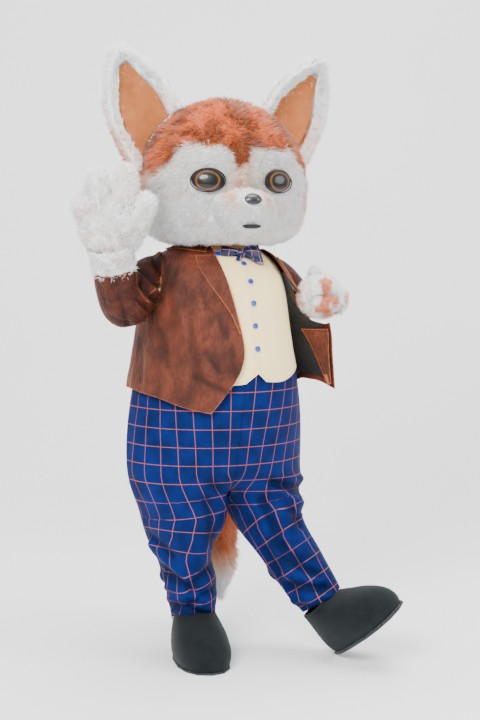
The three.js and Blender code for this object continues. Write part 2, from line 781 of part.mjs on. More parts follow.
function sleeveHalf(frames, from, to) {
  const angles = steps(from, to, SLEEVE_SIDES / 2);
  const grid = steps(0, SLEEVE_ROWS, SLEEVE_ROWS).map((v) => angles.map((angle) => [angle, v]));
  return cloth({ surface: sleeveSurface(frames), grid, thickness: JACKET_CLOTH, du: 1, dv: 0.02 });
}

function sleeveFilled(frames, extra) {
  const rows = steps(0, SLEEVE_ROWS, SLEEVE_ROWS);
  return filledRings(rows, fullRound(0, 360 / SLEEVE_SIDES), sleeveSurface(frames, extra));
}

// The space inside the jacket, closed at hem and neck, moved out by extra.
function jacketFilled(extra) {
  const low = steps(BACK_HEM, CHEST_LEVELS[0], 4);
  const levels = [BACK_HEM - 30, ...low, ...CHEST_LEVELS.slice(1), NECK_HEIGHT + 4];
  return filledRings(levels, fullRound(FLY_ANGLE, ROUND_STEP), (angle, height) =>
    jacketSurface(angle > 90 ? angle - 360 : angle, height).addScaledVector(outwards(angle, height), extra),
  );
}

// Trousers: each leg is a tube that opens into half of the seat.
const RIGHT_LEG = [
  { z: 1000, x: -140, y: 0, side: 164, depth: 240, tilt: 0 },
  { z: 640, x: -135, y: 0, side: 159, depth: 228, tilt: 0 },
  { z: 560, x: -126, y: 0, side: 153, depth: 206, tilt: 0 },
  { z: 485, x: -118, y: -4, side: 144, depth: 182, tilt: 0 },
  { z: 430, x: -124, y: -8, side: 128, depth: 160, tilt: 0 },
  { z: 378, x: -131, y: -8, side: 97, depth: 138, tilt: 0 },
  { z: 330, x: -113, y: -2, side: 91, depth: 120, tilt: 0.3 },
  { z: 262, x: -87, y: 10, side: 88, depth: 106, tilt: 0.6 },
  { z: 205, x: -80, y: 22, side: 88, depth: 102, tilt: 0.8 },
  { z: 165, x: -72, y: 34, side: 78, depth: 94, tilt: 1 },
  { z: 120, x: -66, y: 46, side: 70, depth: 88, tilt: 1 },
];
const LEFT_LEG = [
  { z: 1000, x: 175, y: 0, side: 145, depth: 240, tilt: 0 },
  { z: 640, x: 176, y: 0, side: 145, depth: 228, tilt: 0 },
  { z: 560, x: 168, y: -8, side: 135, depth: 205, tilt: 0 },
  { z: 485, x: 164, y: -24, side: 127, depth: 176, tilt: 0 },
  { z: 445, x: 180, y: -48, side: 110, depth: 148, tilt: 0.5 },
  { z: 400, x: 203, y: -72, side: 98, depth: 124, tilt: 1 },
  { z: 350, x: 228, y: -92, side: 94, depth: 114, tilt: 1 },
  { z: 300, x: 255, y: -115, side: 92, depth: 106, tilt: 1 },
  { z: 250, x: 281, y: -137, side: 92, depth: 100, tilt: 1 },
  { z: 215, x: 299, y: -151, side: 80, depth: 90, tilt: 1 },
  { z: 190, x: 312, y: -161, side: 76, depth: 86, tilt: 1 },
];
const CROTCH = 485;
const RISE_START = 655;

const RIGHT_LEG_FOLDS = [
  { u: 0.3, v: 400, length: 0.16, width: 12, turn: 0, depth: -8 },
  { u: 0.45, v: 345, length: 0.14, width: 11, turn: 0, depth: -9 },
  { u: 0.2, v: 300, length: 0.16, width: 11, turn: 0, depth: -8 },
  { u: 0.35, v: 235, length: 0.2, width: 10, turn: 0, depth: -8 },
  { u: 0.3, v: 178, length: 0.3, width: 9, turn: 0, depth: -8 },
  { u: 0.75, v: 330, length: 0.15, width: 11, turn: 0, depth: -9 },
  { u: 0.7, v: 230, length: 0.2, width: 11, turn: 0, depth: -8 },
];
const LEFT_LEG_FOLDS = [
  { u: 0.33, v: 570, length: 0.12, width: 14, turn: 0, depth: -15 },
  { u: 0.42, v: 470, length: 0.12, width: 13, turn: 0, depth: -9 },
  { u: 0.2, v: 425, length: 0.14, width: 12, turn: 0, depth: -8 },
  { u: 0.42, v: 372, length: 0.12, width: 11, turn: 0, depth: -9 },
  { u: 0.3, v: 322, length: 0.15, width: 11, turn: 0, depth: -8 },
  { u: 0.4, v: 262, length: 0.14, width: 10, turn: 0, depth: -9 },
  { u: 0.72, v: 380, length: 0.15, width: 12, turn: 0, depth: -9 },
  { u: 0.7, v: 290, length: 0.15, width: 11, turn: 0, depth: -8 },
];

// round runs from the front seam or inseam (0) over the side (0.5) to the back seam (1).
function trouserSurface(leg, folds, side, extra = 0) {
  const frame = (z) => {
    const row = readTable(leg, "z", z);
    const lower = readTable(leg, "z", z - 6);
    const upper = readTable(leg, "z", z + 6);
    const axis = vec(upper.x - lower.x, upper.y - lower.y, upper.z - lower.z).normalize();
    const up = vec(0, 0, 1).lerp(axis, clamp01(row.tilt)).normalize();
    const acrossX = vec(0, 1, 0).cross(up).normalize();
    const acrossY = up.clone().cross(acrossX);
    return { row, acrossX, acrossY };
  };
  return (round, z) => {
    const { row, acrossX, acrossY } = frame(z);
    const turn = 2 * Math.PI * round;
    const fold = foldDepth(folds, round, z);
    const legPoint = vec(row.x, row.y, z);
    legPoint.addScaledVector(acrossX, -side * (row.side + fold + extra) * Math.cos(turn));
    legPoint.addScaledVector(acrossY, -(row.depth + fold + extra) * Math.sin(turn));
    const blend = smooth((RISE_START - z) / (RISE_START - CROTCH));
    if (blend >= 1) return legPoint;
    const angle = FLY_ANGLE + side * 180 * round;
    const seat = figure(angle, z);
    seat.addScaledVector(outwards(angle, z), fold * smooth(Math.sin(Math.PI * round) * 2) + extra);
    return seat.lerp(legPoint, blend);
  };
}

const rightTrouser = trouserSurface(RIGHT_LEG, RIGHT_LEG_FOLDS, -1);
const leftTrouser = trouserSurface(LEFT_LEG, LEFT_LEG_FOLDS, 1);
const TROUSER_LEVELS = [
  1000, 955, 905, 840, 765, 695, 640, 590, 545, 505, 465, 425, 385, 345, 305, 265, 228, 196, 168, 144,
];

function trouserPanel(surface, hem, from, to, side) {
  const inset = 0.0005;
  const levels = TROUSER_LEVELS.filter((z) => z > hem + 8).concat(hem);
  const rounds = steps(from + inset, to - inset, 180 / ROUND_STEP / 2);
  const grid = levels.map((z) => rounds.map((round) => [round, z]));
  return cloth({ surface, grid, thickness: TROUSER_CLOTH, side, du: 0.002, dv: 1 });
}

// Shoes: outline at each height over the sole, in the shoe's own frame.
const SHOE_SHAPE = [
  { up: 0, toe: 366, heel: 4, half: 86 },
  { up: 14, toe: 374, heel: -2, half: 92 },
  { up: 40, toe: 372, heel: -4, half: 95 },
  { up: 70, toe: 350, heel: -1, half: 92 },
  { up: 98, toe: 308, heel: 5, half: 85 },
  { up: 122, toe: 250, heel: 10, half: 76 },
  { up: 142, toe: 194, heel: 14, half: 68 },
  { up: 158, toe: 156, heel: 17, half: 62 },
];

function shoeSurface(place, extra = 0) {
  const { heel, forward, up, across } = place;
  return (angle, level) => {
    const row = readTable(SHOE_SHAPE, "up", level);
    const middle = (row.toe + row.heel) * 0.5 + (row.toe - row.heel) * 0.06;
    const c = Math.cos(rad(angle));
    const s = Math.sin(rad(angle));
    const along = c > 0 ? row.toe - middle : middle - row.heel;
    const widen = 1 + 0.08 * c;
    const p = heel.clone();
    p.addScaledVector(forward, middle + (along + extra) * Math.sign(c) * Math.abs(c) ** 0.92);
    p.addScaledVector(across, (row.half * widen + extra) * Math.sign(s) * Math.abs(s) ** 0.92);
    p.addScaledVector(up, SOLE_THICKNESS + SEAM + level);
    return p;
  };
}

function shoePlace(x, y, z, turn, pitch, roll) {
  const flat = vec(Math.sin(rad(turn)), -Math.cos(rad(turn)), 0);
  const forward = flat.clone().multiplyScalar(Math.cos(rad(pitch))).setZ(Math.sin(rad(pitch)));
  const across = flat.clone().cross(vec(0, 0, 1)).applyAxisAngle(forward, rad(roll)).normalize();
  const up = across.clone().cross(forward).normalize();
  return { heel: vec(x, y, z), forward, up, across };
}

const RIGHT_SHOE = shoePlace(-51, 131, 0, -10, 0, 0);
const LEFT_SHOE = shoePlace(383, -157, 8, 11, 34, 30);

const SHOE_LEVELS = [0, 16, 44, 76, 106, 134, 158];
const SHOE_SIDES = 14;
const SHOE_MIDDLE = 186; // from the heel, along the shoe

// The room that a foot and its shoe take in the trouser leg.
function shoeFilled(place) {
  return filledRings(SHOE_LEVELS, fullRound(0, 360 / SHOE_SIDES), shoeSurface(place, 2 * SEAM));
}

function shoeUpper(place) {
  const grid = SHOE_LEVELS.map((level) => fullRound(0, 360 / SHOE_SIDES).map((angle) => [angle, level]));
  const surface = shoeSurface(place);
  return cloth({ surface, grid, thickness: SHOE_WALL, closed: true, side: -1, du: 1, dv: 0.5 });
}

function shoeSole(place) {
  const outline = shoeSurface(place);
  const grown = { 0: -3, 3: 2, [SOLE_THICKNESS]: 2 };
  const middle = place.heel.clone().addScaledVector(place.forward, SHOE_MIDDLE);
  return filledRings([0, 3, SOLE_THICKNESS], fullRound(0, 360 / SHOE_SIDES), (angle, level) => {
    const p = outline(angle, 0);
    const out = p.clone().sub(middle);
    out.addScaledVector(place.up, -out.dot(place.up)).normalize();
    return p.addScaledVector(out, grown[level]).addScaledVector(place.up, level - SOLE_THICKNESS - SEAM);
  });
}

// Tail: stuffed, hung from the back of the trousers.
const TAIL = [
  { x: -6, y: 216, z: 872, radius: 24 },
  { x: 8, y: 266, z: 838, radius: 40 },
  { x: 34, y: 308, z: 760, radius: 60 },
  { x: 74, y: 334, z: 640, radius: 80 },
  { x: 108, y: 322, z: 500, radius: 92 },
  { x: 124, y: 288, z: 370, radius: 86 },
  { x: 126, y: 260, z: 265, radius: 62 },
  { x: 122, y: 246, z: 190, radius: 34 },
  { x: 120, y: 242, z: 152, radius: 8 },
];
const TAIL_TIP_START = 6; // row of the tail where the pale tip begins

function tailPiece(first, last, gap) {
  const frames = armFrames(TAIL, (TAIL.length - 1) * 2);
  const sections = frames.slice(first * 2, last * 2 + 1).map((f, k) => {
    const centre = f.centre.clone();
    if (k === 0) centre.addScaledVector(f.along, gap);
    return {
      centre,
      across: f.across.clone().multiplyScalar(f.radius),
      up: f.up.clone().multiplyScalar(f.radius),
    };
  });
  return loft(sections, 10);
}

// Head: half-width, front and back depth at each height.
const HEAD_SHAPE = [
  { height: HEAD_RIM, side: 150, front: 138, back: 128 },
  { height: 1384, side: 204, front: 182, back: 162 },
  { height: 1402, side: 240, front: 210, back: 188 },
  { height: 1445, side: 270, front: 234, back: 208 },
  { height: 1510, side: 282, front: 241, back: 217 },
  { height: 1575, side: 282, front: 241, back: 220 },
  { height: 1655, side: 264, front: 228, back: 212 },
  { height: 1715, side: 236, front: 204, back: 192 },
  { height: 1765, side: 196, front: 170, back: 160 },
  { height: 1805, side: 143, front: 125, back: 119 },
  { height: 1830, side: 90, front: 79, back: 76 },
  { height: 1842, side: 42, front: 37, back: 36 },
];
const HEAD_TOP = 1845;

function headSurface(angle, height) {
  const row = readTable(HEAD_SHAPE, "height", height);
  const p = oval(row, angle, 0, 0, height);
  p.applyAxisAngle(vec(0, 0, 1), rad(HEAD_TURN));
  return p.add(HEAD_CENTRE);
}

function headPanel(from, to, low, high, rows) {
  const gap = 0.04;
  const angles = steps(from, to, (to - from) / ROUND_STEP);
  angles[0] += gap;
  angles[angles.length - 1] -= gap;
  const heights = rows.filter((h) => h > low + 1 && h < high - 1);
  const levels = [low + (low > HEAD_RIM ? SEAM / 2 : 0), ...heights, high - SEAM / 2];
  const grid = levels.map((height) => angles.map((angle) => [angle, height]));
  return cloth({ surface: headSurface, grid, thickness: HEAD_WALL, side: 1 });
}

const HEAD_LEVELS = [1384, 1402, 1445, 1510, 1575, 1655];
const CROWN_LEVELS = [1705, 1755, 1800, 1830];

function headCrown() {
  const levels = [BROW_TOP + 2 * SEAM, ...CROWN_LEVELS];
  const count = 360 / ROUND_STEP;
  const positions = [];
  const index = [];
  const ring = (lift) => {
    const start = positions.length / 3;
    for (const height of levels) {
      for (let i = 0; i < count; i += 1) {
        const angle = (360 * i) / count;
        const p = headSurface(angle, height);
        p.addScaledVector(facing(headSurface, angle, height, 1), lift);
        positions.push(p.x, p.y, p.z);
      }
    }
    positions.push(HEAD_CENTRE.x, HEAD_CENTRE.y, HEAD_TOP + lift);
    return start;
  };
  const outer = ring(0);
  const inner = ring(-HEAD_WALL);
  const top = (levels.length - 1) * count;
  for (let i = 0; i < count; i += 1) {
    const next = (i + 1) % count;
    for (let j = 0; j < levels.length - 1; j += 1) {
      const a = j * count;
      index.push(outer + a + i, outer + a + next, outer + a + next + count);
      index.push(outer + a + i, outer + a + next + count, outer + a + i + count);
      index.push(inner + a + i, inner + a + next + count, inner + a + next);
      index.push(inner + a + i, inner + a + i + count, inner + a + next + count);
    }
    index.push(outer + top + i, outer + top + next, outer + top + count);
    index.push(inner + top + next, inner + top + i, inner + top + count);
    index.push(outer + next, outer + i, inner + i, outer + next, inner + i, inner + next);
  }
  return geometryOf(positions, index);
}

// The head filled, moved out by extra, to trim the ears.
function headFilled(extra) {
  return filledRings([...HEAD_LEVELS.slice(1), ...CROWN_LEVELS], fullRound(0, ROUND_STEP), (angle, height) =>
    headSurface(angle, height).addScaledVector(facing(headSurface, angle, height, 1), extra),
  );
}

// Face: a plain fox mask of general kind.
const MUZZLE_HEIGHT = 1478;
const MUZZLE_HALF = [112, 70];
const MUZZLE_RISE = 82;
const NOSE_HEIGHT = 1508;
const MOUTH_HEIGHT = 1446;
const EYE_HEIGHT = 1566;
const EYE_ANGLE = 24;

function muzzleSurface(angle, height) {
  const base = headSurface(angle, height);
  const middle = headSurface(0, MUZZLE_HEIGHT);
  const perDegree = headSurface(0.5, MUZZLE_HEIGHT).distanceTo(headSurface(-0.5, MUZZLE_HEIGHT));
  const x = (angle * perDegree) / MUZZLE_HALF[0];
  const y = (height - middle.z) / MUZZLE_HALF[1];
  const inside = Math.max(0, 1 - x * x - y * y);
  return base.addScaledVector(facing(headSurface, angle, height, 1), MUZZLE_RISE * Math.sqrt(inside));
}

// Ears: half-width along the ear.
const EAR_SHAPE = [
  { along: 0, half: 110 },
  { along: 0.22, half: 118 },
  { along: 0.45, half: 112 },
  { along: 0.7, half: 84 },
  { along: 0.88, half: 50 },
  { along: 1, half: 16 },
];
const EAR_BASE = vec(222, -48, 1700);
const EAR_TIP = vec(358, -48, 1978);
const EAR_CUP = 46;
const EAR_ROOM = 2.3; // room under what lies in the hollow of the ear

function earSurface(side) {
  const base = vec(side * EAR_BASE.x, EAR_BASE.y, EAR_BASE.z);
  const tip = vec(side * EAR_TIP.x, EAR_TIP.y, EAR_TIP.z);
  const axis = tip.clone().sub(base).normalize();
  const front = vec(side * 0.12, -1, 0).normalize();
  const across = axis.clone().cross(front).normalize();
  return (over, along) => {
    const half = readTable(EAR_SHAPE, "along", clamp01(along)).half;
    const p = base.clone().lerp(tip, along);
    p.addScaledVector(across, half * over);
    p.addScaledVector(front, EAR_CUP * (over * over - 1) * (half / 126) + 22 * along * along);
    return p;
  };
}

function earBack(side) {
  const surface = earSurface(side);
  const grid = steps(-0.25, 1, 7).map((along) => steps(-1, 1, 6).map((over) => [over, along]));
  return cloth({ surface, grid, thickness: EAR_WALL, du: 0.01, dv: 0.005 });
}

function earInner(side) {
  const surface = earSurface(side);
  const grid = steps(-0.2, 0.84, 6).map((along) => {
    const reach = 0.63 * (1 - 0.55 * smooth((along - 0.45) / 0.4));
    return steps(-reach, reach, 4).map((over) => [over, along]);
  });
  return cloth({ surface, grid, thickness: 2.5, lift: 2.5 + EAR_ROOM, du: 0.01, dv: 0.005 });
}

// White fur along the edge of the ear, on its front.
function earTrim(side) {
  const surface = earSurface(side);
  const rim = (w) => {
    const along = 1 - Math.abs(2 * w - 1) ** 1.15 * 1.2;
    return [clamp01((w - 0.46) / 0.08) * 2 - 1, along];
  };
  const grid = steps(0, 1, 14).map((w) => {
    const [over, along] = rim(w);
    const innerAlong = Math.min(along, 0.885);
    const reach = 0.72 * (1 - 0.55 * smooth((innerAlong - 0.45) / 0.4));
    return steps(0, 1, 2).map((q) => [lerp(over, over * reach, q), lerp(along, innerAlong, q)]);
  });
  const rise = 13;
  return cloth({ surface, grid, thickness: rise, lift: rise + EAR_ROOM, du: 0.01, dv: 0.005 });
}

// Paws: plush gloves, hollow, cut from a palm and a back.
function gloveSolid(parts, wall) {
  return joined(
    parts.map((p) => {
      if (p.kind === "finger") {
        return finger(p.from, p.to, p.radiusFrom - wall, p.radiusTo - wall, wall ? 5 : 6);
      }
      const ball = new THREE.SphereGeometry(1, wall ? 8 : 10, wall ? 5 : 7);
      ball.scale(p.half.x - wall, p.half.y - wall, p.half.z - wall);
      if (p.turn) ball.rotateZ(rad(p.turn));
      ball.translate(p.centre.x, p.centre.y, p.centre.z);
      return ball;
    }),
  );
}

// A large block on one side of a plane, to part a glove.
function halfSpace(point, normal, gap) {
  const block = new THREE.BoxGeometry(BLOCK, BLOCK, BLOCK);
  block.translate(0, 0, BLOCK / 2 + gap / 2);
  block.applyQuaternion(new THREE.Quaternion().setFromUnitVectors(vec(0, 0, 1), normal.clone().normalize()));
  block.translate(point.x, point.y, point.z);
  return block;
}

function cuffRing(arm, wall, back, ahead) {
  const frames = armFrames(arm, SLEEVE_ROWS);
  const end = frames[SLEEVE_ROWS];
  const radius = end.radius - JACKET_CLOTH - CUFF_ROOM;
  const section = (along, r) => ({
    centre: end.centre.clone().addScaledVector(end.along, along),
    across: end.across.clone().multiplyScalar(r - wall),
    up: end.up.clone().multiplyScalar(r - wall),
  });
  return loft([section(-back, radius), section(0, radius), section(ahead, radius)], SLEEVE_SIDES);
}

const RIGHT_GLOVE = [
  { kind: "ball", centre: vec(-424, -180, 1412), half: vec(100, 56, 88), turn: -20 },
  { kind: "finger", from: vec(-476, -160, 1432), to: vec(-502, -150, 1488), radiusFrom: 42, radiusTo: 40 },
  { kind: "finger", from: vec(-450, -170, 1460), to: vec(-464, -164, 1560), radiusFrom: 42, radiusTo: 41 },
  { kind: "finger", from: vec(-398, -192, 1460), to: vec(-388, -190, 1568), radiusFrom: 45, radiusTo: 44 },
  { kind: "finger", from: vec(-366, -208, 1410), to: vec(-334, -218, 1488), radiusFrom: 38, radiusTo: 37 },
];
const LEFT_GLOVE = [
  { kind: "ball", centre: vec(300, -172, 1204), half: vec(78, 66, 70), turn: -20 },
  { kind: "finger", from: vec(244, -226, 1228), to: vec(274, -244, 1232), radiusFrom: 33, radiusTo: 33 },
  { kind: "finger", from: vec(250, -232, 1178), to: vec(284, -248, 1180), radiusFrom: 33, radiusTo: 33 },
  { kind: "finger", from: vec(330, -212, 1172), to: vec(352, -196, 1198), radiusFrom: 33, radiusTo: 33 },
  { kind: "finger", from: vec(294, -150, 1244), to: vec(290, -162, 1274), radiusFrom: 28, radiusTo: 24 },
];

function glove(parts, arm, planePoint, planeNormal) {
  const outer = gloveSolid(parts, 0).add(solidFrom(cuffRing(arm, 0, CUFF_DEPTH, WRIST_REACH)));
  const open = solidFrom(cuffRing(arm, GLOVE_WALL, CUFF_DEPTH + 4, WRIST_REACH + 4));
  const inner = gloveSolid(parts, GLOVE_WALL).add(open);
  const shell = outer.subtract(inner);
  const halves = {};
  for (const [name, sign] of [["front", 1], ["rear", -1]]) {
    const block = halfSpace(planePoint, planeNormal.clone().multiplyScalar(sign), SEAM);
    halves[name] = geometryFrom(mainBody(shell.intersect(solidFrom(block))));
  }
  return halves;
}

// Shirt neck: a band that rises from the waistcoat's top line to the head.
function shirtNeck() {
  const rise = HEAD_RIM - SEAM;
  const surface = (angle, t) => {
    const p = waistcoatSurface(angle, lerp(CHEST_TOP + SEAM, SHIRT_SHOULDER, Math.min(1, t)));
    if (t > 1) p.z = lerp(p.z, rise, t - 1);
    return p;
  };
  const grid = [0, 1, 2].map((t) => fullRound(FLY_ANGLE, ROUND_STEP).map((angle) => [angle, t]));
  return cloth({ surface, grid, thickness: SHIRT_CLOTH, closed: true, side: 1, dv: 0.01 });
}

// Bow tie: each wing and the loose tail is a flat pad between two ends.
const BOW_FRONT = vec(0.06, -0.84, 0.54).normalize();
const BOW_KNOT = vec(2, -186, 1343);
const BOW_PIECES = [
  { name: "bow_wing_left", x: 76, y: -176, z: 1341, halfStart: 9, halfEnd: 29, thickness: 10 },
  { name: "bow_wing_right", x: -56, y: -164, z: 1352, halfStart: 8, halfEnd: 15, thickness: 8 },
  { name: "bow_tail", x: -18, y: -210, z: 1300, halfStart: 6, halfEnd: 9, thickness: 3 },
];

function bowPiece({ x, y, z, halfStart, halfEnd, thickness }) {
  const end = vec(x, y, z);
  const along = end.clone().sub(BOW_KNOT).normalize();
  const across = along.clone().cross(BOW_FRONT).normalize();
  const sections = steps(0.08, 1, 4).map((t) => ({
    centre: BOW_KNOT.clone().lerp(end, t),
    across: across.clone().multiplyScalar(lerp(halfStart, halfEnd, smooth(t * 1.2))),
    up: BOW_FRONT.clone().multiplyScalar(lerp(4, thickness, Math.sin(Math.PI * t * 0.9))),
  }));
  return loft(sections, 8, 0.75);
}

function bowKnot(extra) {
  const knot = new THREE.SphereGeometry(1, 8, 6);
  knot.scale(13 + extra, 11 + extra, 17 + extra);
  knot.translate(BOW_KNOT.x, BOW_KNOT.y, BOW_KNOT.z);
  return knot;
}

function bowBand(extra) {
  const angles = steps(-34, -6, 2);
  const heights = steps(1333 - extra, 1343 + extra, 2);
  const grid = heights.map((height) => angles.map((angle) => [angle, height]));
  const lift = TOUCH + BAND_CLOTH + extra;
  return cloth({ surface: waistcoatSurface, grid, thickness: BAND_CLOTH + 2 * extra, lift });
}

// The scene graph.
const costume = new THREE.Group();
const worn = new THREE.Group();
worn.position.z = -HELD_HEIGHT;
costume.add(worn);

function addPiece(name, geometry, colour, roughness = 0.9) {
  const bare = geometry.clone();
  bare.computeVertexNormals();
  const material = new THREE.MeshStandardMaterial({ color: colour, roughness, metalness: 0 });
  const mesh = new THREE.Mesh(bare, material);
  mesh.name = name;
  worn.add(mesh);
  return mesh;
}

// Head.
const faceEdge = 90;
addPiece("head_crown", headCrown(), COLOURS.furOrange);
const backPanel = headPanel(faceEdge, 360 - faceEdge, HEAD_RIM, BROW_TOP, HEAD_LEVELS);
addPiece("head_back", backPanel, COLOURS.furOrange);
for (const [name, from, to] of [["right", -faceEdge, 0], ["left", 0, faceEdge]]) {
  addPiece(`head_cheek_${name}`, headPanel(from, to, HEAD_RIM, CHEEK_TOP, HEAD_LEVELS), COLOURS.furWhite);
  addPiece(`head_brow_${name}`, headPanel(from, to, CHEEK_TOP, BROW_TOP, HEAD_LEVELS), COLOURS.furPeach);
}
const muzzle = (edge) =>
  pad({
    surface: headSurface,
    at: [0, MUZZLE_HEIGHT],
    radii: MUZZLE_HALF,
    rise: MUZZLE_RISE,
    edge,
    lift: 1.2,
    count: 16,
    rings: 3,
  });
const muzzleRoom = muzzle(2 + SEAM);
addPiece("head_muzzle", muzzle(2), COLOURS.furWhite);
for (const [name, sign] of [["right", -1], ["left", 1]]) {
  const eye = pad({
    surface: headSurface,
    at: [sign * EYE_ANGLE, EYE_HEIGHT],
    radii: [54, 34],
    rise: 9,
    edge: 3,
    lift: 1.4,
    count: 14,
    rings: 2,
    turn: sign * 0.16,
  });
  addPiece(`eye_${name}`, eye, COLOURS.eye, 0.3);
}

const trimmer = headFilled(SEAM + 0.6);
for (const [name, side] of [["right", -1], ["left", 1]]) {
  addPiece(`ear_back_${name}`, cut(earBack(side), trimmer), COLOURS.furOrange);
  addPiece(`ear_inner_${name}`, cut(earInner(side), trimmer), COLOURS.tan);
  addPiece(`ear_trim_${name}`, cut(earTrim(side), trimmer), COLOURS.furWhite);
}

const nose = pad({
  surface: muzzleSurface,
  at: [0, NOSE_HEIGHT],
  radii: [27, 16],
  rise: 8,
  edge: 10,
  lift: -3,
  count: 14,
});
addPiece("nose", cut(nose, muzzleRoom), COLOURS.black, 0.35);
const mouth = pad({
  surface: muzzleSurface,
  at: [0, MOUTH_HEIGHT],
  radii: [30, 7],
  rise: 1,
  edge: 8,
  lift: -3,
  count: 14,
});
addPiece("mouth", cut(mouth, muzzleRoom), COLOURS.black);

// Jacket.
const rightArm = armFrames(RIGHT_ARM, SLEEVE_ROWS);
const leftArm = armFrames(LEFT_ARM, SLEEVE_ROWS);
const rightHole = sleeveFilled(rightArm, SEAM);
const leftHole = sleeveFilled(leftArm, SEAM);
const bodyVolume = jacketFilled(SHOULDER_ROOM);
const leftGlove = glove(LEFT_GLOVE, LEFT_ARM, vec(296, -176, 1205), vec(0.25, -0.95, 0.25));
const rightGlove = glove(RIGHT_GLOVE, RIGHT_ARM, vec(-424, -178, 1420), vec(-0.42, -0.9, 0));
const leftHand = finger(vec(214, -206, 1200), vec(300, -190, 1196), 80, 88, 10);

addPiece("jacket_back", cut(jacketBack(), rightHole, leftHole), COLOURS.velvet);
addPiece("jacket_front_right", cut(jacketRightFront(), rightHole), COLOURS.velvet);
addPiece("jacket_front_left", cut(leftFrontPiece(), leftHole, leftHand), COLOURS.velvet);
addPiece("jacket_lining_left", cut(quiltedLining(), leftHand), COLOURS.lining);
addPiece("jacket_turned_edge_left", turnedFrontEdge(), COLOURS.velvet);
addPiece("jacket_collar", jacketCollar(), COLOURS.velvet);
addPiece("jacket_lapel_right", rightLapel(), COLOURS.velvet);
addPiece("jacket_lapel_left", leftLapel(), COLOURS.velvet);
const sleeveGap = 0.12;
for (const [name, frames] of [["right", rightArm], ["left", leftArm]]) {
  const outer = sleeveHalf(frames, sleeveGap, 180 - sleeveGap);
  const under = sleeveHalf(frames, 180 + sleeveGap, 360 - sleeveGap);
  addPiece(`sleeve_top_${name}`, cut(outer, bodyVolume), COLOURS.velvet);
  addPiece(`sleeve_under_${name}`, cut(under, bodyVolume), COLOURS.velvet);
}

// Waistcoat, shirt and buttons.
const armholes = [armholeCutter(-1, 78), armholeCutter(1, 78)];
const behind = waistcoatPiece(-270 + SEAM_ANGLE, -90 - SEAM_ANGLE);
const onRight = waistcoatPiece(-90 + SEAM_ANGLE, BUTTON_ANGLE - SEAM_ANGLE);
const onLeft = waistcoatPiece(BUTTON_ANGLE + SEAM_ANGLE, 90 - SEAM_ANGLE);
addPiece("waistcoat_back", cut(behind, ...armholes), COLOURS.cream);
addPiece("waistcoat_front_right", cut(onRight, armholes[0]), COLOURS.cream);
addPiece("waistcoat_front_left", cut(onLeft, armholes[1]), COLOURS.cream);
const BUTTON_HEIGHTS = [1308, 1254, 1187, 1117, 1046];
BUTTON_HEIGHTS.forEach((height, k) => {
  const button = pad({
    surface: waistcoatSurface,
    at: [BUTTON_ANGLE, height],
    radii: [8, 8],
    rise: 1.6,
    edge: 1.6,
    lift: 1.1,
    count: 8,
    rings: 1,
  });
  addPiece(`button_${k + 1}`, button, COLOURS.blue, 0.4);
});

// Shirt neck and bow tie.
const [firstLine, ...otherLines] = fullRound(FLY_ANGLE, ROUND_STEP);
const waistcoatRoom = filledRings(
  CHEST_LEVELS.slice(1),
  [firstLine, BUTTON_ANGLE, ...otherLines],
  overFigure(() => WAISTCOAT_LIFT + 0.5),
);
const knotRoom = bowKnot(SEAM);
addPiece("shirt_neck", shirtNeck(), COLOURS.cream);
addPiece("bow_knot", cut(bowKnot(0), waistcoatRoom), COLOURS.blue, 0.6);
addPiece("bow_band", cut(bowBand(0), knotRoom), COLOURS.blue, 0.6);
const bandRoom = bowBand(0.5);
for (const piece of BOW_PIECES) {
  addPiece(piece.name, cut(bowPiece(piece), waistcoatRoom, knotRoom, bandRoom), COLOURS.blue, 0.6);
}

// Trousers.
const rightHem = 120;
const leftHem = 190;
for (const [name, surface, hem, side, place] of [
  ["right", rightTrouser, rightHem, -1, RIGHT_SHOE],
  ["left", leftTrouser, leftHem, 1, LEFT_SHOE],
]) {
  const foot = shoeFilled(place);
  addPiece(`trousers_front_${name}`, cut(trouserPanel(surface, hem, 0, 0.5, side), foot), COLOURS.navy);
  addPiece(`trousers_back_${name}`, cut(trouserPanel(surface, hem, 0.5, 1, side), foot), COLOURS.navy);
}

// Paws, tail and shoes.
addPiece("paw_palm_right", rightGlove.front, COLOURS.furWhite);
addPiece("paw_back_right", rightGlove.rear, COLOURS.furWhite);
addPiece("paw_palm_left", leftGlove.rear, COLOURS.furWhite);
addPiece("paw_back_left", leftGlove.front, COLOURS.furWhite);
const allRound = fullRound(FLY_ANGLE, ROUND_STEP);
const seatRoom = filledRings(TROUSER_LEVELS.slice(0, 6), allRound, overFigure(() => 0.5));
addPiece("tail_upper", cut(tailPiece(0, TAIL_TIP_START, 0), seatRoom), COLOURS.furOrange);
addPiece("tail_tip", tailPiece(TAIL_TIP_START, TAIL.length - 1, SEAM), COLOURS.furWhite);
for (const [name, place] of [["right", RIGHT_SHOE], ["left", LEFT_SHOE]]) {
  addPiece(`shoe_upper_${name}`, shoeUpper(place), COLOURS.shoe);
  addPiece(`shoe_sole_${name}`, shoeSole(place), COLOURS.sole, 0.7);
}

export default costume;
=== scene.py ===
"""Worn fox mascot costume: its cloth, plush fur and padding. Metres, +Z up, the chest faces -Y."""
import itertools
import math

import bpy
import numpy as np
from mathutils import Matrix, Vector
from mathutils.bvhtree import BVHTree
from mathutils.kdtree import KDTree


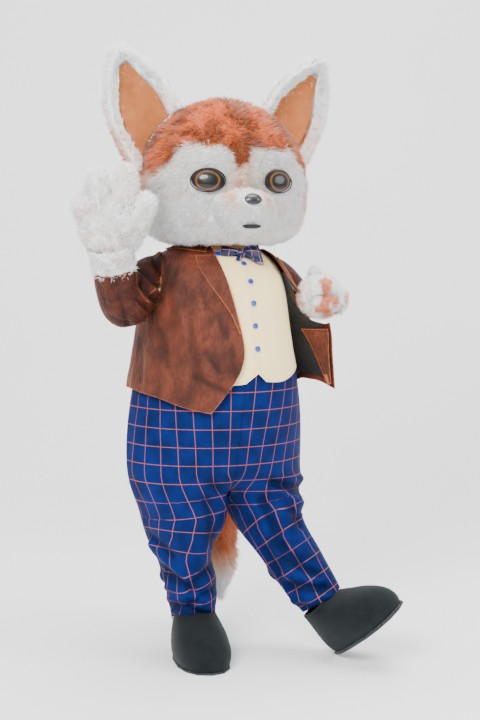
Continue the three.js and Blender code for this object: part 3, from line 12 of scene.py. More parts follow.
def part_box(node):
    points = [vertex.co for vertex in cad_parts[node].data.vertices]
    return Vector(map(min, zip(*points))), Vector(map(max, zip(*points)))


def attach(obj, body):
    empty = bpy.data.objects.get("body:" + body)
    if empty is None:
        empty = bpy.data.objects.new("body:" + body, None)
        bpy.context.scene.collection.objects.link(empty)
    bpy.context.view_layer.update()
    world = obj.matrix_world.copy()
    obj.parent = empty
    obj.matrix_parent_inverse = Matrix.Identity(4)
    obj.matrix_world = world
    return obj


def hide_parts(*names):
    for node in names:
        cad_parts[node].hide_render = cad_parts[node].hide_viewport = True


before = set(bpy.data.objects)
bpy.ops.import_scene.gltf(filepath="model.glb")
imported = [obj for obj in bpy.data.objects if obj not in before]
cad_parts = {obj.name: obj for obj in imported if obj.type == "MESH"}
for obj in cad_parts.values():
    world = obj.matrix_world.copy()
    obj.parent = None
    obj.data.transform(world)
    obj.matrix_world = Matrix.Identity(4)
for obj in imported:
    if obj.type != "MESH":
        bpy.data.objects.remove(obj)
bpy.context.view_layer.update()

MM = 0.001
HELD_HEIGHT = 1330  # mm from the ground to the origin
GROUND = -HELD_HEIGHT * MM

# Camera of the photograph.
PICTURE = (480, 720)
FOCAL = 1394.0  # pixels
CAMERA_PLACE = Vector((-1.8706, -4.2032, 0.0))
CAMERA_TURN = math.radians(-25)
CAMERA_TILT = math.radians(4.2)
FILM = 36.0  # mm on the picture's long side


def put(name, data):
    """A new object in the scene."""
    made = bpy.data.objects.new(name, data)
    bpy.context.scene.collection.objects.link(made)
    return made


def place_camera():
    data = bpy.data.cameras.new("camera")
    data.sensor_fit = "VERTICAL"
    data.sensor_height = FILM
    data.sensor_width = FILM
    data.lens = FOCAL / PICTURE[1] * FILM
    data.clip_end = 60
    camera = put("camera", data)
    camera.location = CAMERA_PLACE
    camera.rotation_euler = (math.pi / 2 - CAMERA_TILT, 0, CAMERA_TURN)
    bpy.context.scene.camera = camera


place_camera()


# Colours and finishes.
def linear(colour):
    """Linear red, green, blue and alpha of an sRGB hex colour."""
    channels = [int(colour[i:i + 2], 16) / 255 for i in (1, 3, 5)]
    curve = [c / 12.92 if c <= 0.04045 else ((c + 0.055) / 1.055) ** 2.4 for c in channels]
    return (*curve, 1.0)


def add(tree, kind, links=None, **settings):
    """Adds a node: settings are its own values, and links are its inputs, as values or as sockets."""
    made = tree.nodes.new(f"ShaderNode{kind}")
    for name, value in settings.items():
        setattr(made, name, value)
    for name, value in (links or {}).items():
        if isinstance(value, bpy.types.NodeSocket):
            tree.links.new(value, made.inputs[name])
        else:
            made.inputs[name].default_value = value
    return made


def per_mm(size):
    """Scale of a pattern on metre coordinates whose marks are size mm apart."""
    return 1000 / size


def finish(name, **shader_values):
    """A new material, its shader and the place on the piece; values are set on the shader's sockets."""
    material = bpy.data.materials.new(name)
    material.use_nodes = True
    tree = material.node_tree
    tree.nodes.clear()
    shader = add(tree, "BsdfPrincipled")
    for socket, value in shader_values.items():
        shader.inputs[socket.replace("_", " ")].default_value = value
    output = add(tree, "OutputMaterial")
    tree.links.new(shader.outputs["BSDF"], output.inputs["Surface"])
    place = add(tree, "TexCoord").outputs["Object"]
    return material, tree, shader, place


def mottled(tree, vector, size, detail=3, low=0.3, high=0.7, stretch=None):
    """Noise of a given mark size in mm, spread between 0 and 1."""
    if stretch:
        vector = add(tree, "Mapping", {"Vector": vector, "Scale": stretch}).outputs["Vector"]
    noise = add(tree, "TexNoise", {"Vector": vector, "Scale": per_mm(size), "Detail": detail})
    limits = {"From Min": low, "From Max": high}
    spread = add(tree, "MapRange", {"Value": noise.outputs["Fac"], **limits})
    return spread.outputs["Result"]


def surfaced(tree, shader, colour, layers, height=None, depth=0.0):
    """Gives a finish its colour, layers of (amount, colour) over it, and relief depth metres deep."""
    colour = linear(colour) if isinstance(colour, str) else colour
    for amount, tint in layers:
        mix = add(tree, "Mix", {0: amount, 6: colour, 7: linear(tint)}, data_type="RGBA")
        colour = mix.outputs[2]
    tree.links.new(colour, shader.inputs["Base Color"])
    if height:
        bump = add(tree, "Bump", {"Height": height, "Distance": depth, "Strength": 1.0})
        tree.links.new(bump.outputs["Normal"], shader.inputs["Normal"])


def clouded(name, deep, pale, cloud, relief, depth, flecks=(), **shader_values):
    """A deep colour with clouds of a pale one. cloud, relief and flecks give mottled its marks in mm."""
    material, tree, shader, place = finish(name, **shader_values)
    layers = [(mottled(tree, place, *cloud), pale)]
    layers += [(mottled(tree, place, *marks), tint) for marks, tint in flecks]
    surfaced(tree, shader, deep, layers, mottled(tree, place, *relief), depth)
    return material


def long_plush():
    # Faux fur, knitted pile of acrylic: matt, soft at its edges, each lock with its own dye, over which
    # painted shade darkens the roots and the backing and painted light brightens the tips. A little glow
    # stands for light scattered inside the pile, which keeps white fur bright: a painted glow.
    material, tree, shader, _ = finish("acrylic_plush", Roughness=0.8, Specular_IOR_Level=0.2,
                                       Sheen_Weight=0.2, Sheen_Roughness=0.5, Emission_Strength=0.1)
    # The colour attribute holds the dye together with the painted shade and painted light; it also colours
    # the glow.
    dye_with_painted_shade = add(tree, "Attribute", attribute_name="dye_with_painted_shade")
    for socket in ("Base Color", "Emission Color"):
        tree.links.new(dye_with_painted_shade.outputs["Color"], shader.inputs[socket])
    return material


def velvet(name, lit, dark):
    # Polyester velvet: the pile leans here and there, so patches look lit or dark. A highlight is painted
    # along the cut edges, and shade is painted dark into the troughs of folds.
    material, tree, shader, place = finish(name, Roughness=0.62, Specular_IOR_Level=0.2, Sheen_Weight=0.3,
                                           Sheen_Roughness=0.35, Sheen_Tint=linear("#B06A48"))
    wide = mottled(tree, place, 55, 6, 0.36, 0.64, (1, 1, 0.7))
    fine = mottled(tree, place, 12, 5, 0.42, 0.66, (1.3, 1.3, 0.7))
    streak = add(tree, "Math", {0: fine, 1: 0.45}, operation="MULTIPLY")
    # Painted highlight: an orange-brown shine painted within about 3 mm of the cut edges.
    edge = add(tree, "Attribute", attribute_name="edge_mm").outputs["Fac"]
    shine = {"From Min": 1.6, "From Max": 3.4, "To Min": 0.75, "To Max": 0.0}
    near = add(tree, "MapRange", {"Value": edge, **shine})
    # Painted shade: the troughs of folds are painted near black.
    trough = add(tree, "Attribute", attribute_name="trough").outputs["Fac"]
    painted_trough_shade = add(tree, "Math", {0: trough, 1: 0.7}, operation="MULTIPLY")
    rough = add(tree, "Math", {0: wide, 1: fine}, operation="ADD")
    layers = [(wide, lit), (streak.outputs["Value"], dark), (near.outputs["Result"], "#A65A36"),
              (painted_trough_shade.outputs["Value"], "#1E0C07")]
    surfaced(tree, shader, dark, layers, rough.outputs["Value"], 0.0018)
    return material


def cream_twill():
    # Brushed cotton twill: fine slanting ribs, drawn 2.6 mm apart so that they show, and a line of
    # stitching 7 mm in from each edge.
    material, tree, shader, place = finish("cream_cotton_twill", Roughness=0.82, Sheen_Weight=0.15)
    edge = add(tree, "Attribute", attribute_name="edge_mm").outputs["Fac"]
    stitch = add(tree, "Math", {0: edge, 1: 7.0, 2: 1.1}, operation="COMPARE").outputs["Value"]
    seam = add(tree, "Math", {0: stitch, 1: 0.35}, operation="MULTIPLY").outputs["Value"]
    rib_scale = per_mm(2.6) / (2 * math.pi)
    ribs = add(tree, "TexWave", {"Vector": place, "Scale": rib_scale, "Distortion": 0.4},
               bands_direction="DIAGONAL")
    layers = [(mottled(tree, place, 90), "#FFE9AE"), (seam, "#B79F72")]
    surfaced(tree, shader, "#FFE19C", layers, ribs.outputs["Fac"], 0.00025)
    return material


def check_cloth(name, ground, shade, line, pitch, width, roughness, gloss, thread):
    # Cloth with a windowpane check: single thin lines woven both ways on the cloth's own grain,
    # pitch mm apart and width mm wide, on threads that stand up thread metres.
    material, tree, shader, place = finish(name, Roughness=roughness, Specular_IOR_Level=gloss)
    grain = add(tree, "UVMap", uv_map="grain").outputs["UV"]
    parts = add(tree, "SeparateXYZ", {"Vector": grain})
    lines = []
    for axis in ("X", "Y"):
        turns = add(tree, "Math", {0: parts.outputs[axis], 1: 1 / pitch}, operation="MULTIPLY")
        inside = add(tree, "Math", {0: turns.outputs["Value"]}, operation="FRACT")
        near = add(tree, "Math", {0: inside.outputs["Value"], 1: 0.5, 2: width / pitch / 2},
                   operation="COMPARE")
        lines.append(near.outputs["Value"])
    either = add(tree, "Math", {0: lines[0], 1: lines[1]}, operation="MAXIMUM").outputs["Value"]
    # Painted shade: the troughs of folds are painted dark navy.
    trough = add(tree, "Attribute", attribute_name="trough").outputs["Fac"]
    deep = add(tree, "Math", {0: trough, 1: 0.6}, operation="MULTIPLY").outputs["Value"]
    threads = add(tree, "TexWave", {"Vector": grain, "Scale": 0.11, "Distortion": 0.6},
                  bands_direction="DIAGONAL")
    layers = [(mottled(tree, place, 60), ground), (either, line), (deep, "#000A26")]
    surfaced(tree, shader, shade, layers, threads.outputs["Fac"], thread)
    return material


def moulded(name, deep, pale, roughness, coat):
    # Moulded plastic or vinyl: even colour, a faint orange peel under its gloss.
    return clouded(name, deep, pale, (14, 3, 0.35), (5, 2), 0.0002, Roughness=roughness, Coat_Weight=coat,
                   Coat_Roughness=0.08)


EYE_RINGS = [(0.0, "#040405"), (0.66, "#060606"), (0.69, "#3A200C"), (0.77, "#7A4A18"), (0.84, "#4A2A10"),
             (0.89, "#120A07"), (1.0, "#080505")]


def painted_eye():
    # Vacuum-formed plastic eye, painted from behind and glossy: rings of colour on its own map.
    material, tree, shader, _ = finish("painted_eye_plastic", Roughness=0.35, Specular_IOR_Level=0.3,
                                       Coat_Weight=0.35, Coat_Roughness=0.05)
    place = add(tree, "UVMap", uv_map="grain").outputs["UV"]
    far = add(tree, "VectorMath", {0: place}, operation="LENGTH").outputs["Value"]
    ramp = add(tree, "ValToRGB", {"Fac": far})
    while len(ramp.color_ramp.elements) < len(EYE_RINGS):
        ramp.color_ramp.elements.new(0.5)
    for element, (at, colour) in zip(ramp.color_ramp.elements, EYE_RINGS):
        element.position = at
        element.color = linear(colour)
    streaks = add(tree, "TexNoise", {"Vector": place, "Scale": 14.0, "Detail": 3.0})
    amount = add(tree, "Math", {0: streaks.outputs["Fac"], 1: 0.35}, operation="MULTIPLY")
    surfaced(tree, shader, ramp.outputs["Color"], [(amount.outputs["Value"], "#120C0A")])
    return material


def studio_paper():
    # Seamless paper, nearly white and matt. It is clear from behind, so that the costume can be seen
    # from every side.
    material, tree, shader, place = finish("studio_paper", Roughness=0.9, Specular_IOR_Level=0.1)
    surfaced(tree, shader, "#F6F7F8", [(mottled(tree, place, 900, 2, 0.2, 0.8), "#FBFBFC")])
    behind = add(tree, "NewGeometry").outputs["Backfacing"]
    clear = add(tree, "BsdfTransparent").outputs["BSDF"]
    both = add(tree, "MixShader", {0: behind, 1: shader.outputs["BSDF"], 2: clear})
    output = next(node for node in tree.nodes if node.type == "OUTPUT_MATERIAL")
    tree.links.new(both.outputs["Shader"], output.inputs["Surface"])
    return material


PLUSH = long_plush()
# Minky, brushed short pile: smooth tan with a faint cloudiness.
MINKY = clouded("minky_short_pile", "#A05C30", "#B46C3C", (45,), (2.2, 2), 0.0004, Roughness=0.85,
                Specular_IOR_Level=0.2, Sheen_Weight=0.12, Sheen_Roughness=0.4)
JACKET_VELVET = velvet("brown_velvet", "#65301F", "#3F1D13")
LAPEL_VELVET = velvet("brown_velvet_lapel", "#693321", "#442015")
# The sleeves' copy of the velvet is drawn darker than the jacket's: painted shade.
SLEEVE_VELVET_IN_PAINTED_SHADE = velvet("brown_velvet_sleeve_painted_shade", "#4E2115", "#280F08")
# Quilted satin lining: black, with a soft gloss on each raised spot.
LINING = clouded("quilted_satin", "#0B0B0D", "#17171B", (30,), (7,), 0.0008, Roughness=0.42,
                 Specular_IOR_Level=0.5, Sheen_Weight=0.2)
CREAM = cream_twill()
# Wool suiting, matt; the bow is a satin of the same kind of check, finer and glossier.
TROUSER_CHECK = check_cloth("navy_windowpane", "#001C5E", "#001342", "#9C5442", 59.0, 2.1, 0.7, 0.1, 0.0003)
BOW_CHECK = check_cloth("blue_satin_check", "#05205E", "#031236", "#C98A76", 27.0, 1.5, 0.38, 0.4, 0.0001)
# The band's satin is pulled so smooth that it shines like moulded plastic.
BAND_SATIN = moulded("blue_satin_band", "#0C34C4", "#1440DC", 0.4, 0.1)
# Neoprene faced with knit: matt charcoal with a fine pale fleck.
NEOPRENE = clouded("neoprene_knit_face", "#0C1112", "#141B1D", (60,), (4,), 0.0006,
                   [((3.2, 2, 0.62, 0.75), "#2A3436")], Roughness=0.85, Specular_IOR_Level=0.15,
                   Sheen_Weight=0.06)
# Crepe rubber sole: black and a little grainy.
RUBBER = clouded("crepe_rubber", "#15181A", "#30383A", (12, 3, 0.35), (5, 4), 0.0007, Roughness=0.7,
                 Specular_IOR_Level=0.4)
BUTTON = moulded("blue_pearl_button", "#0A1F9A", "#1430B8", 0.3, 0.25)
VINYL = moulded("black_vinyl", "#121214", "#1E1E21", 0.4, 0.3)
# Wool felt: black, fuzzy and quite matt.
FELT = clouded("wool_felt", "#0D0D0E", "#232325", (6, 4), (3,), 0.0005, Roughness=0.95,
               Specular_IOR_Level=0.15, Sheen_Weight=0.3)
EYE = painted_eye()


# Working on pieces.
def active():
    return bpy.context.view_layer.objects.active


def alone(piece):
    bpy.ops.object.select_all(action="DESELECT")
    piece.select_set(True)
    bpy.context.view_layer.objects.active = piece


def points_of(piece):
    flat = np.empty(len(piece.data.vertices) * 3)
    piece.data.vertices.foreach_get("co", flat)
    return flat.reshape(-1, 3)


def set_points(piece, points):
    piece.data.vertices.foreach_set("co", points.ravel())
    piece.data.update()


def joined_copy(node, name):
    """A copy of a node's solid with its loose triangles joined, left in edit mode, all selected."""
    alone(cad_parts[node])
    bpy.ops.object.duplicate()
    piece = active()
    for key in list(piece.keys()):
        del piece[key]
    piece.parent = None
    piece.name = name
    piece.data.name = name
    piece.data.materials.clear()
    alone(piece)
    bpy.ops.object.mode_set(mode="EDIT")
    bpy.ops.mesh.select_all(action="SELECT")
    bpy.ops.mesh.remove_doubles(threshold=0.00003)
    return piece


def modified(piece, kind, **settings):
    """Applies a modifier to a piece that is selected alone."""
    modifier = piece.modifiers.new("shaping", kind)
    for name, value in settings.items():
        setattr(modifier, name, value)
    bpy.ops.object.modifier_apply(modifier=modifier.name)


def copied(node, name, levels=2, quads=True, crisp=42):
    """A smooth copy of a node's solid, as a piece of its own; edges over crisp degrees stay sharp."""
    piece = joined_copy(node, name)
    if quads:
        bpy.ops.mesh.tris_convert_to_quads(face_threshold=math.radians(50), shape_threshold=math.radians(70))
    bpy.ops.mesh.select_mode(type="EDGE")
    bpy.ops.mesh.select_all(action="DESELECT")
    bpy.ops.mesh.edges_select_sharp(sharpness=math.radians(crisp))
    bpy.ops.transform.edge_crease(value=1.0)
    bpy.ops.mesh.select_all(action="DESELECT")
    bpy.ops.object.mode_set(mode="OBJECT")
    if levels:
        modified(piece, "SUBSURF", levels=levels, render_levels=levels)
    bpy.ops.object.shade_smooth_by_angle(angle=math.radians(crisp))
    return piece


def worn(piece, material, slot, *nodes):
    """Gives a piece its material and ties it to the costume in place of its solids."""
    if not piece.data.materials:
        piece.data.materials.append(material)
    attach(piece, "root")
    if nodes:
        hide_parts(*nodes)


def clamp(values, low=0.0, high=1.0):
    return np.minimum(np.maximum(values, low), high)


def ease(values):
    t = clamp(values)
    return t * t * (3 - 2 * t)


def in_picture(points):
    """Where points stand in the picture, in pixels."""
    right = np.array([math.cos(CAMERA_TURN), math.sin(CAMERA_TURN), 0])
    level = np.array([-math.sin(CAMERA_TURN), math.cos(CAMERA_TURN), 0])
    upright = np.array([0, 0, 1.0])
    ahead = level * math.cos(CAMERA_TILT) - upright * math.sin(CAMERA_TILT)
    above = level * math.sin(CAMERA_TILT) + upright * math.cos(CAMERA_TILT)
    apart = points - np.array(CAMERA_PLACE)
    depth = apart @ ahead
    across = PICTURE[0] / 2 + FOCAL * (apart @ right) / depth
    down = PICTURE[1] / 2 - FOCAL * (apart @ above) / depth
    return across, down


def out_from(points, path):
    """Unit directions away from a path, and the length run along it."""
    path = np.asarray(path, float)
    best = np.full(len(points), np.inf)
    away = np.zeros_like(points)
    run = np.zeros(len(points))
    start = 0.0
    for first, second in zip(path[:-1], path[1:]):
        step = second - first
        size = np.linalg.norm(step)
        t = clamp((points - first) @ step / size ** 2)
        apart = points - (first + t[:, None] * step)
        distance = np.linalg.norm(apart, axis=1)
        nearer = distance < best
        best = np.where(nearer, distance, best)
        away[nearer] = apart[nearer]
        run[nearer] = start + t[nearer] * size
        start += size
    return away / np.maximum(best, 1e-6)[:, None], run


def above_ground(points):
    """Height of points over the ground, in mm."""
    return points[:, 2] / MM + HELD_HEIGHT


def placed(*rows):
    """Points in metres of (x, y, height over the ground) rows in mm."""
    return (np.array(rows, float) - (0, 0, HELD_HEIGHT)) * MM


def creased(across, down, creases):
    """Sum of soft troughs, below zero, and ridges along straight lines of a flat map."""
    total = np.zeros(len(across))
    for x0, y0, x1, y1, width, depth in creases:
        dx, dy = x1 - x0, y1 - y0
        t = clamp(((across - x0) * dx + (down - y0) * dy) / (dx * dx + dy * dy))
        away = np.hypot(across - x0 - t * dx, down - y0 - t * dy)
        total += depth * np.exp(-(away / width) ** 2)
    return total


TORSO_AXIS = [(-0.008, 0, -0.9), (-0.008, 0, 0.1)]
ROUND_MM = 3.6  # mm of cloth to a degree round, where creases are given in degrees
# Painted shade in the troughs of folds grows with their depth, up to FULL_SHADE.
FULL_SHADE = 9  # mm: a trough this deep is shaded as much as any


def press(piece, seen, round_about, axis, fade=None, gain=1.0, deepest=60.0):
    """Presses creases into a piece. seen are lines in the picture, on the side it shows; round_about
    are lines of degrees round the axis and of mm of height, for the sides it hides. No trough is
    over deepest mm, so that the layer below stays covered."""
    points = points_of(piece)
    away, _ = out_from(points, axis)
    view = np.array([-math.sin(CAMERA_TURN), math.cos(CAMERA_TURN), 0])
    shown = ease(0.5 - 1.6 * (away @ view) - 0.2)
    across, down = in_picture(points)
    angle = np.degrees(np.arctan2(away[:, 0], -away[:, 1]))
    height = above_ground(points)
    round_back = np.where(angle < -60, angle + 360, angle) * ROUND_MM
    hidden = [(a * ROUND_MM, h, b * ROUND_MM, k, w, d) for a, h, b, k, w, d in round_about]
    move = creased(across, down, seen) * shown
    move += creased(round_back, height, hidden) * (1 - shown)
    if fade is not None:
        move *= fade(height)
    # Painted shade: each point's share of the shade painted into the troughs of its folds, which darkens the
    # cloth's colour.
    shade = piece.data.attributes.new("trough", "FLOAT", "POINT")
    shade.data.foreach_set("value", clamp(-move * gain / FULL_SHADE))
    move = np.maximum(move * gain, -deepest)
    set_points(piece, points + away * (move * MM)[:, None])


def edge_distance(piece, node):
    """Gives each point of a piece its distance in mm to the cut edges of its node's cloth."""
    copy = joined_copy(node, "edges")
    bpy.ops.mesh.select_all(action="DESELECT")
    bpy.ops.mesh.select_mode(type="EDGE")
    bpy.ops.mesh.edges_select_sharp(sharpness=math.radians(50))
    bpy.ops.object.mode_set(mode="OBJECT")
    lines = [tuple(e.vertices) for e in copy.data.edges if e.select]
    corners = points_of(copy)
    spots = []
    for a, b in lines:
        count = max(1, int(np.linalg.norm(corners[a] - corners[b]) / 0.004))
        spots.extend(corners[a] + (corners[b] - corners[a]) * k / count for k in range(count + 1))
    bpy.data.objects.remove(copy)
    tree = KDTree(len(spots))
    for k, spot in enumerate(spots):
        tree.insert(Vector(spot), k)
    tree.balance()
    far = [tree.find(v.co)[2] / MM for v in piece.data.vertices]
    piece.data.attributes.new("edge_mm", "FLOAT", "POINT").data.foreach_set("value", np.array(far))


def set_grain(piece, across, along):
    """Writes the cloth's own grain, in mm across and along it, as a UV map."""
    layer = piece.data.uv_layers.get("grain") or piece.data.uv_layers.new(name="grain")
    corner = np.empty(len(piece.data.loops), np.int32)
    piece.data.loops.foreach_get("vertex_index", corner)
    both = np.stack([across[corner], along[corner]], -1)
    layer.data.foreach_set("uv", both.ravel())
    for other in [u for u in piece.data.uv_layers if u.name != "grain"]:
        piece.data.uv_layers.remove(other)


# Trousers. Rings down a leg: place, height over the ground, half width and half depth, in mm.
RIGHT_LEG = [
    (-135, 0, 640, 159, 228), (-126, 0, 560, 153, 206), (-118, -4, 485, 144, 182), (-124, -8, 430, 128, 160),
    (-131, -8, 378, 97, 138), (-113, -2, 330, 91, 120), (-87, 10, 262, 88, 106), (-80, 22, 205, 88, 102),
    (-72, 34, 165, 78, 94), (-66, 46, 120, 70, 88),
]
LEFT_LEG = [
    (176, 0, 640, 145, 228), (168, -8, 560, 135, 205), (164, -24, 485, 127, 176), (180, -48, 445, 110, 148),
    (203, -72, 400, 98, 124), (228, -92, 350, 94, 114), (255, -115, 300, 92, 106), (281, -137, 250, 92, 100),
    (299, -151, 215, 80, 90), (312, -161, 190, 76, 86),
]
# Rings round the hips: height over the ground, half width, depth ahead and depth behind, in mm.
HIPS = [
    (1000, 260, 312, 219), (850, 288, 298, 222), (740, 300, 268, 222), (640, 300, 245, 215),
    (560, 296, 232, 205), (400, 290, 215, 190),
]
CROTCH = 485
RISE_START = 655
CHECK_PITCH = 59.0
FLY_TURN = math.radians(-6)
FLY_TO_LINE = 36.0  # mm from the fly to the first upright line
FLY_TO_LEG = 190.0  # mm of cloth from the fly to the front of a leg
LEG_CLOTH = 1040  # mm of cloth from the waist down a leg
LINE_HEIGHT = 853.0  # a level line of the check stands at this height


def oval_arc(angle, wide, ahead, behind):
    """Length in mm round an oval from its front to an angle."""
    count = 40
    total = np.zeros(len(angle))
    for k in range(count):
        middle = angle * (k + 0.5) / count
        deep = np.where(np.cos(middle) > 0, ahead, behind)
        total += np.hypot(wide * np.cos(middle), deep * np.sin(middle)) * np.abs(angle) / count
    return total


def trouser_grain(piece, leg, side, rear):
    """The grain runs level round the hips, and turns to follow each leg below them."""
    points = points_of(piece)
    height = above_ground(points)
    rows = np.array(leg, float)
    path = placed(*rows[:, :3])
    path = np.vstack([path[0] + np.array([0, 0, 0.4]), path, path[-1] + (path[-1] - path[-2])])
    away, run = out_from(points, path)
    lengths = np.cumsum(np.r_[0, np.linalg.norm(np.diff(path, axis=0), axis=1)])
    ring = np.interp(run, lengths, above_ground(path))
    order = rows[:, 2].argsort()
    wide = np.interp(ring, rows[order, 2], rows[order, 3])
    deep = np.interp(ring, rows[order, 2], rows[order, 4])
    round_leg = side * np.arctan2(away[:, 0], -away[:, 1])
    round_hips = side * np.arctan2(points[:, 0] + 0.008, -points[:, 1]) - side * FLY_TURN
    if rear:
        round_leg = np.where(round_leg < 0, round_leg + 2 * math.pi, round_leg)
        round_hips = np.where(round_hips < 0, round_hips + 2 * math.pi, round_hips)
    arc = np.sign(round_leg) * oval_arc(np.abs(round_leg), wide, deep, deep)
    hips = np.array(HIPS, float)[::-1]
    girth = [np.interp(height, hips[:, 0], hips[:, k]) for k in (1, 2, 3)]
    seat = np.sign(round_hips) * oval_arc(np.abs(round_hips), *girth)
    blend = ease((RISE_START - height) / (RISE_START - CROTCH))
    across = seat * (1 - blend) + (arc + FLY_TO_LEG) * blend
    along = height * (1 - blend) + (LEG_CLOTH - run / MM) * blend
    phase = CHECK_PITCH / 2
    set_grain(piece, across - FLY_TO_LINE + phase, along - LINE_HEIGHT + phase)


RIGHT_LEG_CREASES = [
    (146, 532, 172, 556, 4.0, -7), (150, 545, 186, 578, 3.5, 6), (158, 566, 190, 590, 4.0, -8),
    (163, 586, 204, 600, 3.5, 5), (166, 604, 206, 616, 4.0, -9), (207, 500, 214, 540, 5.0, -5),
    (216, 560, 196, 582, 4.0, -6), (218, 585, 190, 606, 3.5, -6), (212, 484, 236, 498, 5.0, -5),
    (176, 530, 196, 560, 6.0, 4), (168, 600, 186, 596, 3.0, 5), (228, 480, 224, 506, 5.0, 5),
]
LEFT_LEG_CREASES = [
    (272, 482, 302, 490, 4.0, -12), (276, 474, 300, 478, 4.0, 6), (278, 492, 300, 504, 4.5, 7),
    (262, 500, 282, 544, 5.0, -7), (250, 498, 270, 540, 5.0, 4), (292, 508, 300, 526, 4.0, -6),
    (270, 540, 300, 562, 4.5, -7), (282, 560, 318, 574, 4.0, -7), (290, 548, 312, 556, 4.0, 5),
    (286, 586, 326, 588, 4.5, -9), (284, 574, 318, 582, 3.5, 5), (292, 602, 330, 596, 3.5, 4),
    (264, 548, 280, 576, 4.0, -5), (304, 606, 322, 612, 4.0, -6),
]
LEG_CREASES_BEHIND = [
    (130, 540, 200, 500, 22, -8), (150, 470, 230, 450, 20, -9), (140, 360, 220, 330, 18, -8),
    (150, 300, 240, 270, 18, 6), (130, 240, 230, 210, 16, -8), (110, 420, 130, 330, 18, -6),
    (250, 420, 240, 330, 18, -6), (90, 350, 120, 300, 16, -6), (160, 600, 200, 560, 24, -7),
    (100, 600, 110, 520, 24, -6), (260, 600, 250, 520, 24, -6),
]


def trousers():
    for side_name, side, leg, creases in (("right", -1, RIGHT_LEG, RIGHT_LEG_CREASES),
                                          ("left", 1, LEFT_LEG, LEFT_LEG_CREASES)):
        path = placed(*np.array(leg, float)[:, :3])
        axis = np.vstack([[path[0][0] * 0.5, 0, -0.4], path, path[-1] + (path[-1] - path[-2])])
        for part in ("front", "back"):
            node = f"trousers_{part}_{side_name}"
            piece = copied(node, f"{node}_cloth", 3)
            trouser_grain(piece, leg, side, part == "back")
            press(piece, creases, LEG_CREASES_BEHIND, axis, lambda height: ease((880 - height) / 60), 1.9)
            worn(piece, TROUSER_CHECK, "trouser_cloth", node)


# Jacket.
JACKET_CREASES = [
    (186, 250, 170, 286, 3.2, -3.5), (170, 262, 160, 300, 3.0, -4), (182, 270, 176, 300, 3.0, 2.5),
    (204, 296, 212, 322, 3.0, -3.5), (212, 300, 206, 336, 3.0, 3), (218, 316, 226, 338, 3.0, -3.5),
    (160, 330, 168, 366, 4.0, -3), (150, 350, 146, 382, 4.0, 3), (206, 352, 220, 374, 3.0, -4),
    (196, 378, 226, 392, 3.5, -4), (200, 370, 224, 378, 3.0, 3), (176, 300, 186, 340, 5.0, 2.5),
    (190, 330, 196, 366, 4.5, -2.5), (138, 340, 140, 380, 4.0, -4), (232, 350, 236, 376, 3.0, -2.5),
]
JACKET_CREASES_BEHIND = [
    (120, 1200, 130, 960, 22, -5), (150, 1230, 160, 980, 24, 4), (185, 1220, 180, 960, 24, -5),
    (215, 1230, 205, 990, 24, 4), (240, 1200, 230, 960, 22, -5), (170, 1290, 200, 1280, 20, -3),
    (100, 1150, 108, 980, 20, -4), (262, 1150, 255, 980, 20, -4),
]


def jacket():
    for node, levels, material in (
        ("jacket_back", 2, JACKET_VELVET), ("jacket_front_right", 3, JACKET_VELVET),
        ("jacket_front_left", 2, JACKET_VELVET), ("jacket_collar", 2, LAPEL_VELVET),
        ("jacket_lapel_right", 2, LAPEL_VELVET), ("jacket_lapel_left", 2, LAPEL_VELVET),
        ("jacket_turned_edge_left", 2, JACKET_VELVET),
    ):
        piece = copied(node, f"{node}_cloth", levels)
        edge_distance(piece, node)
        if "left" not in node:
            press(piece, JACKET_CREASES, JACKET_CREASES_BEHIND, TORSO_AXIS,
                  lambda height: ease((1345 - height) / 60), 2.4, 2.5)
        worn(piece, material, "velvet", node)
    lining = copied("jacket_lining_left", "jacket_lining_left_cloth", 1, quads=False)
    worn(lining, LINING, "lining", "jacket_lining_left")


RIGHT_ARM = [
    (-112, 14, 1288), (-168, 12, 1286), (-240, -12, 1262), (-302, -56, 1212), (-340, -96, 1172),
    (-370, -125, 1188), (-398, -148, 1240), (-414, -166, 1298), (-424, -176, 1340),
]
LEFT_ARM = [
    (112, 14, 1288), (166, 18, 1286), (240, 44, 1258), (304, 62, 1212), (348, 44, 1188), (366, -4, 1184),
    (358, -56, 1190), (334, -108, 1198), (322, -130, 1200),
]
SLEEVE_CREASES = [
    (138, 268, 164, 290, 2.6, -6), (140, 276, 162, 298, 2.2, 4), (138, 284, 158, 304, 2.6, -6),
    (136, 300, 150, 312, 2.6, -4), (120, 300, 128, 322, 3.0, -3), (150, 252, 166, 282, 3.0, -5),
    (158, 250, 168, 276, 2.4, 4), (112, 318, 140, 330, 3.0, -3), (104, 262, 110, 300, 3.0, 2.5),
    (126, 290, 146, 322, 3.0, 3), (296, 262, 304, 276, 2.5, -4),
]


def sleeves():
    for side, arm in (("right", RIGHT_ARM), ("left", LEFT_ARM)):
        axis = placed(*arm)
        for part in ("top", "under"):
            node = f"sleeve_{part}_{side}"
            piece = copied(node, f"{node}_cloth", 3 if side == "right" else 2)
            edge_distance(piece, node)
            press(piece, SLEEVE_CREASES, [], axis, None, 2.2)
            worn(piece, SLEEVE_VELVET_IN_PAINTED_SHADE, "velvet", node)


# Waistcoat, shirt, buttons and bow.
WAISTCOAT_CREASES = [
    (278, 275, 282, 330, 2.6, 2.5), (285, 280, 289, 340, 2.6, 2.5), (272, 290, 275, 350, 3.0, 2.0),
    (292, 300, 296, 345, 2.4, 2.5), (232, 300, 240, 340, 3.0, 1.5), (262, 330, 268, 372, 3.0, 1.8),
]


def waistcoat():
    for node in ("waistcoat_back", "waistcoat_front_right", "waistcoat_front_left", "shirt_neck"):
        piece = copied(node, f"{node}_cloth", 2, crisp=24)
        edge_distance(piece, node)
        if "front" in node:
            press(piece, WAISTCOAT_CREASES, [], TORSO_AXIS, None, 1.4, 0.5)
        worn(piece, CREAM, "waistcoat_cloth", node)


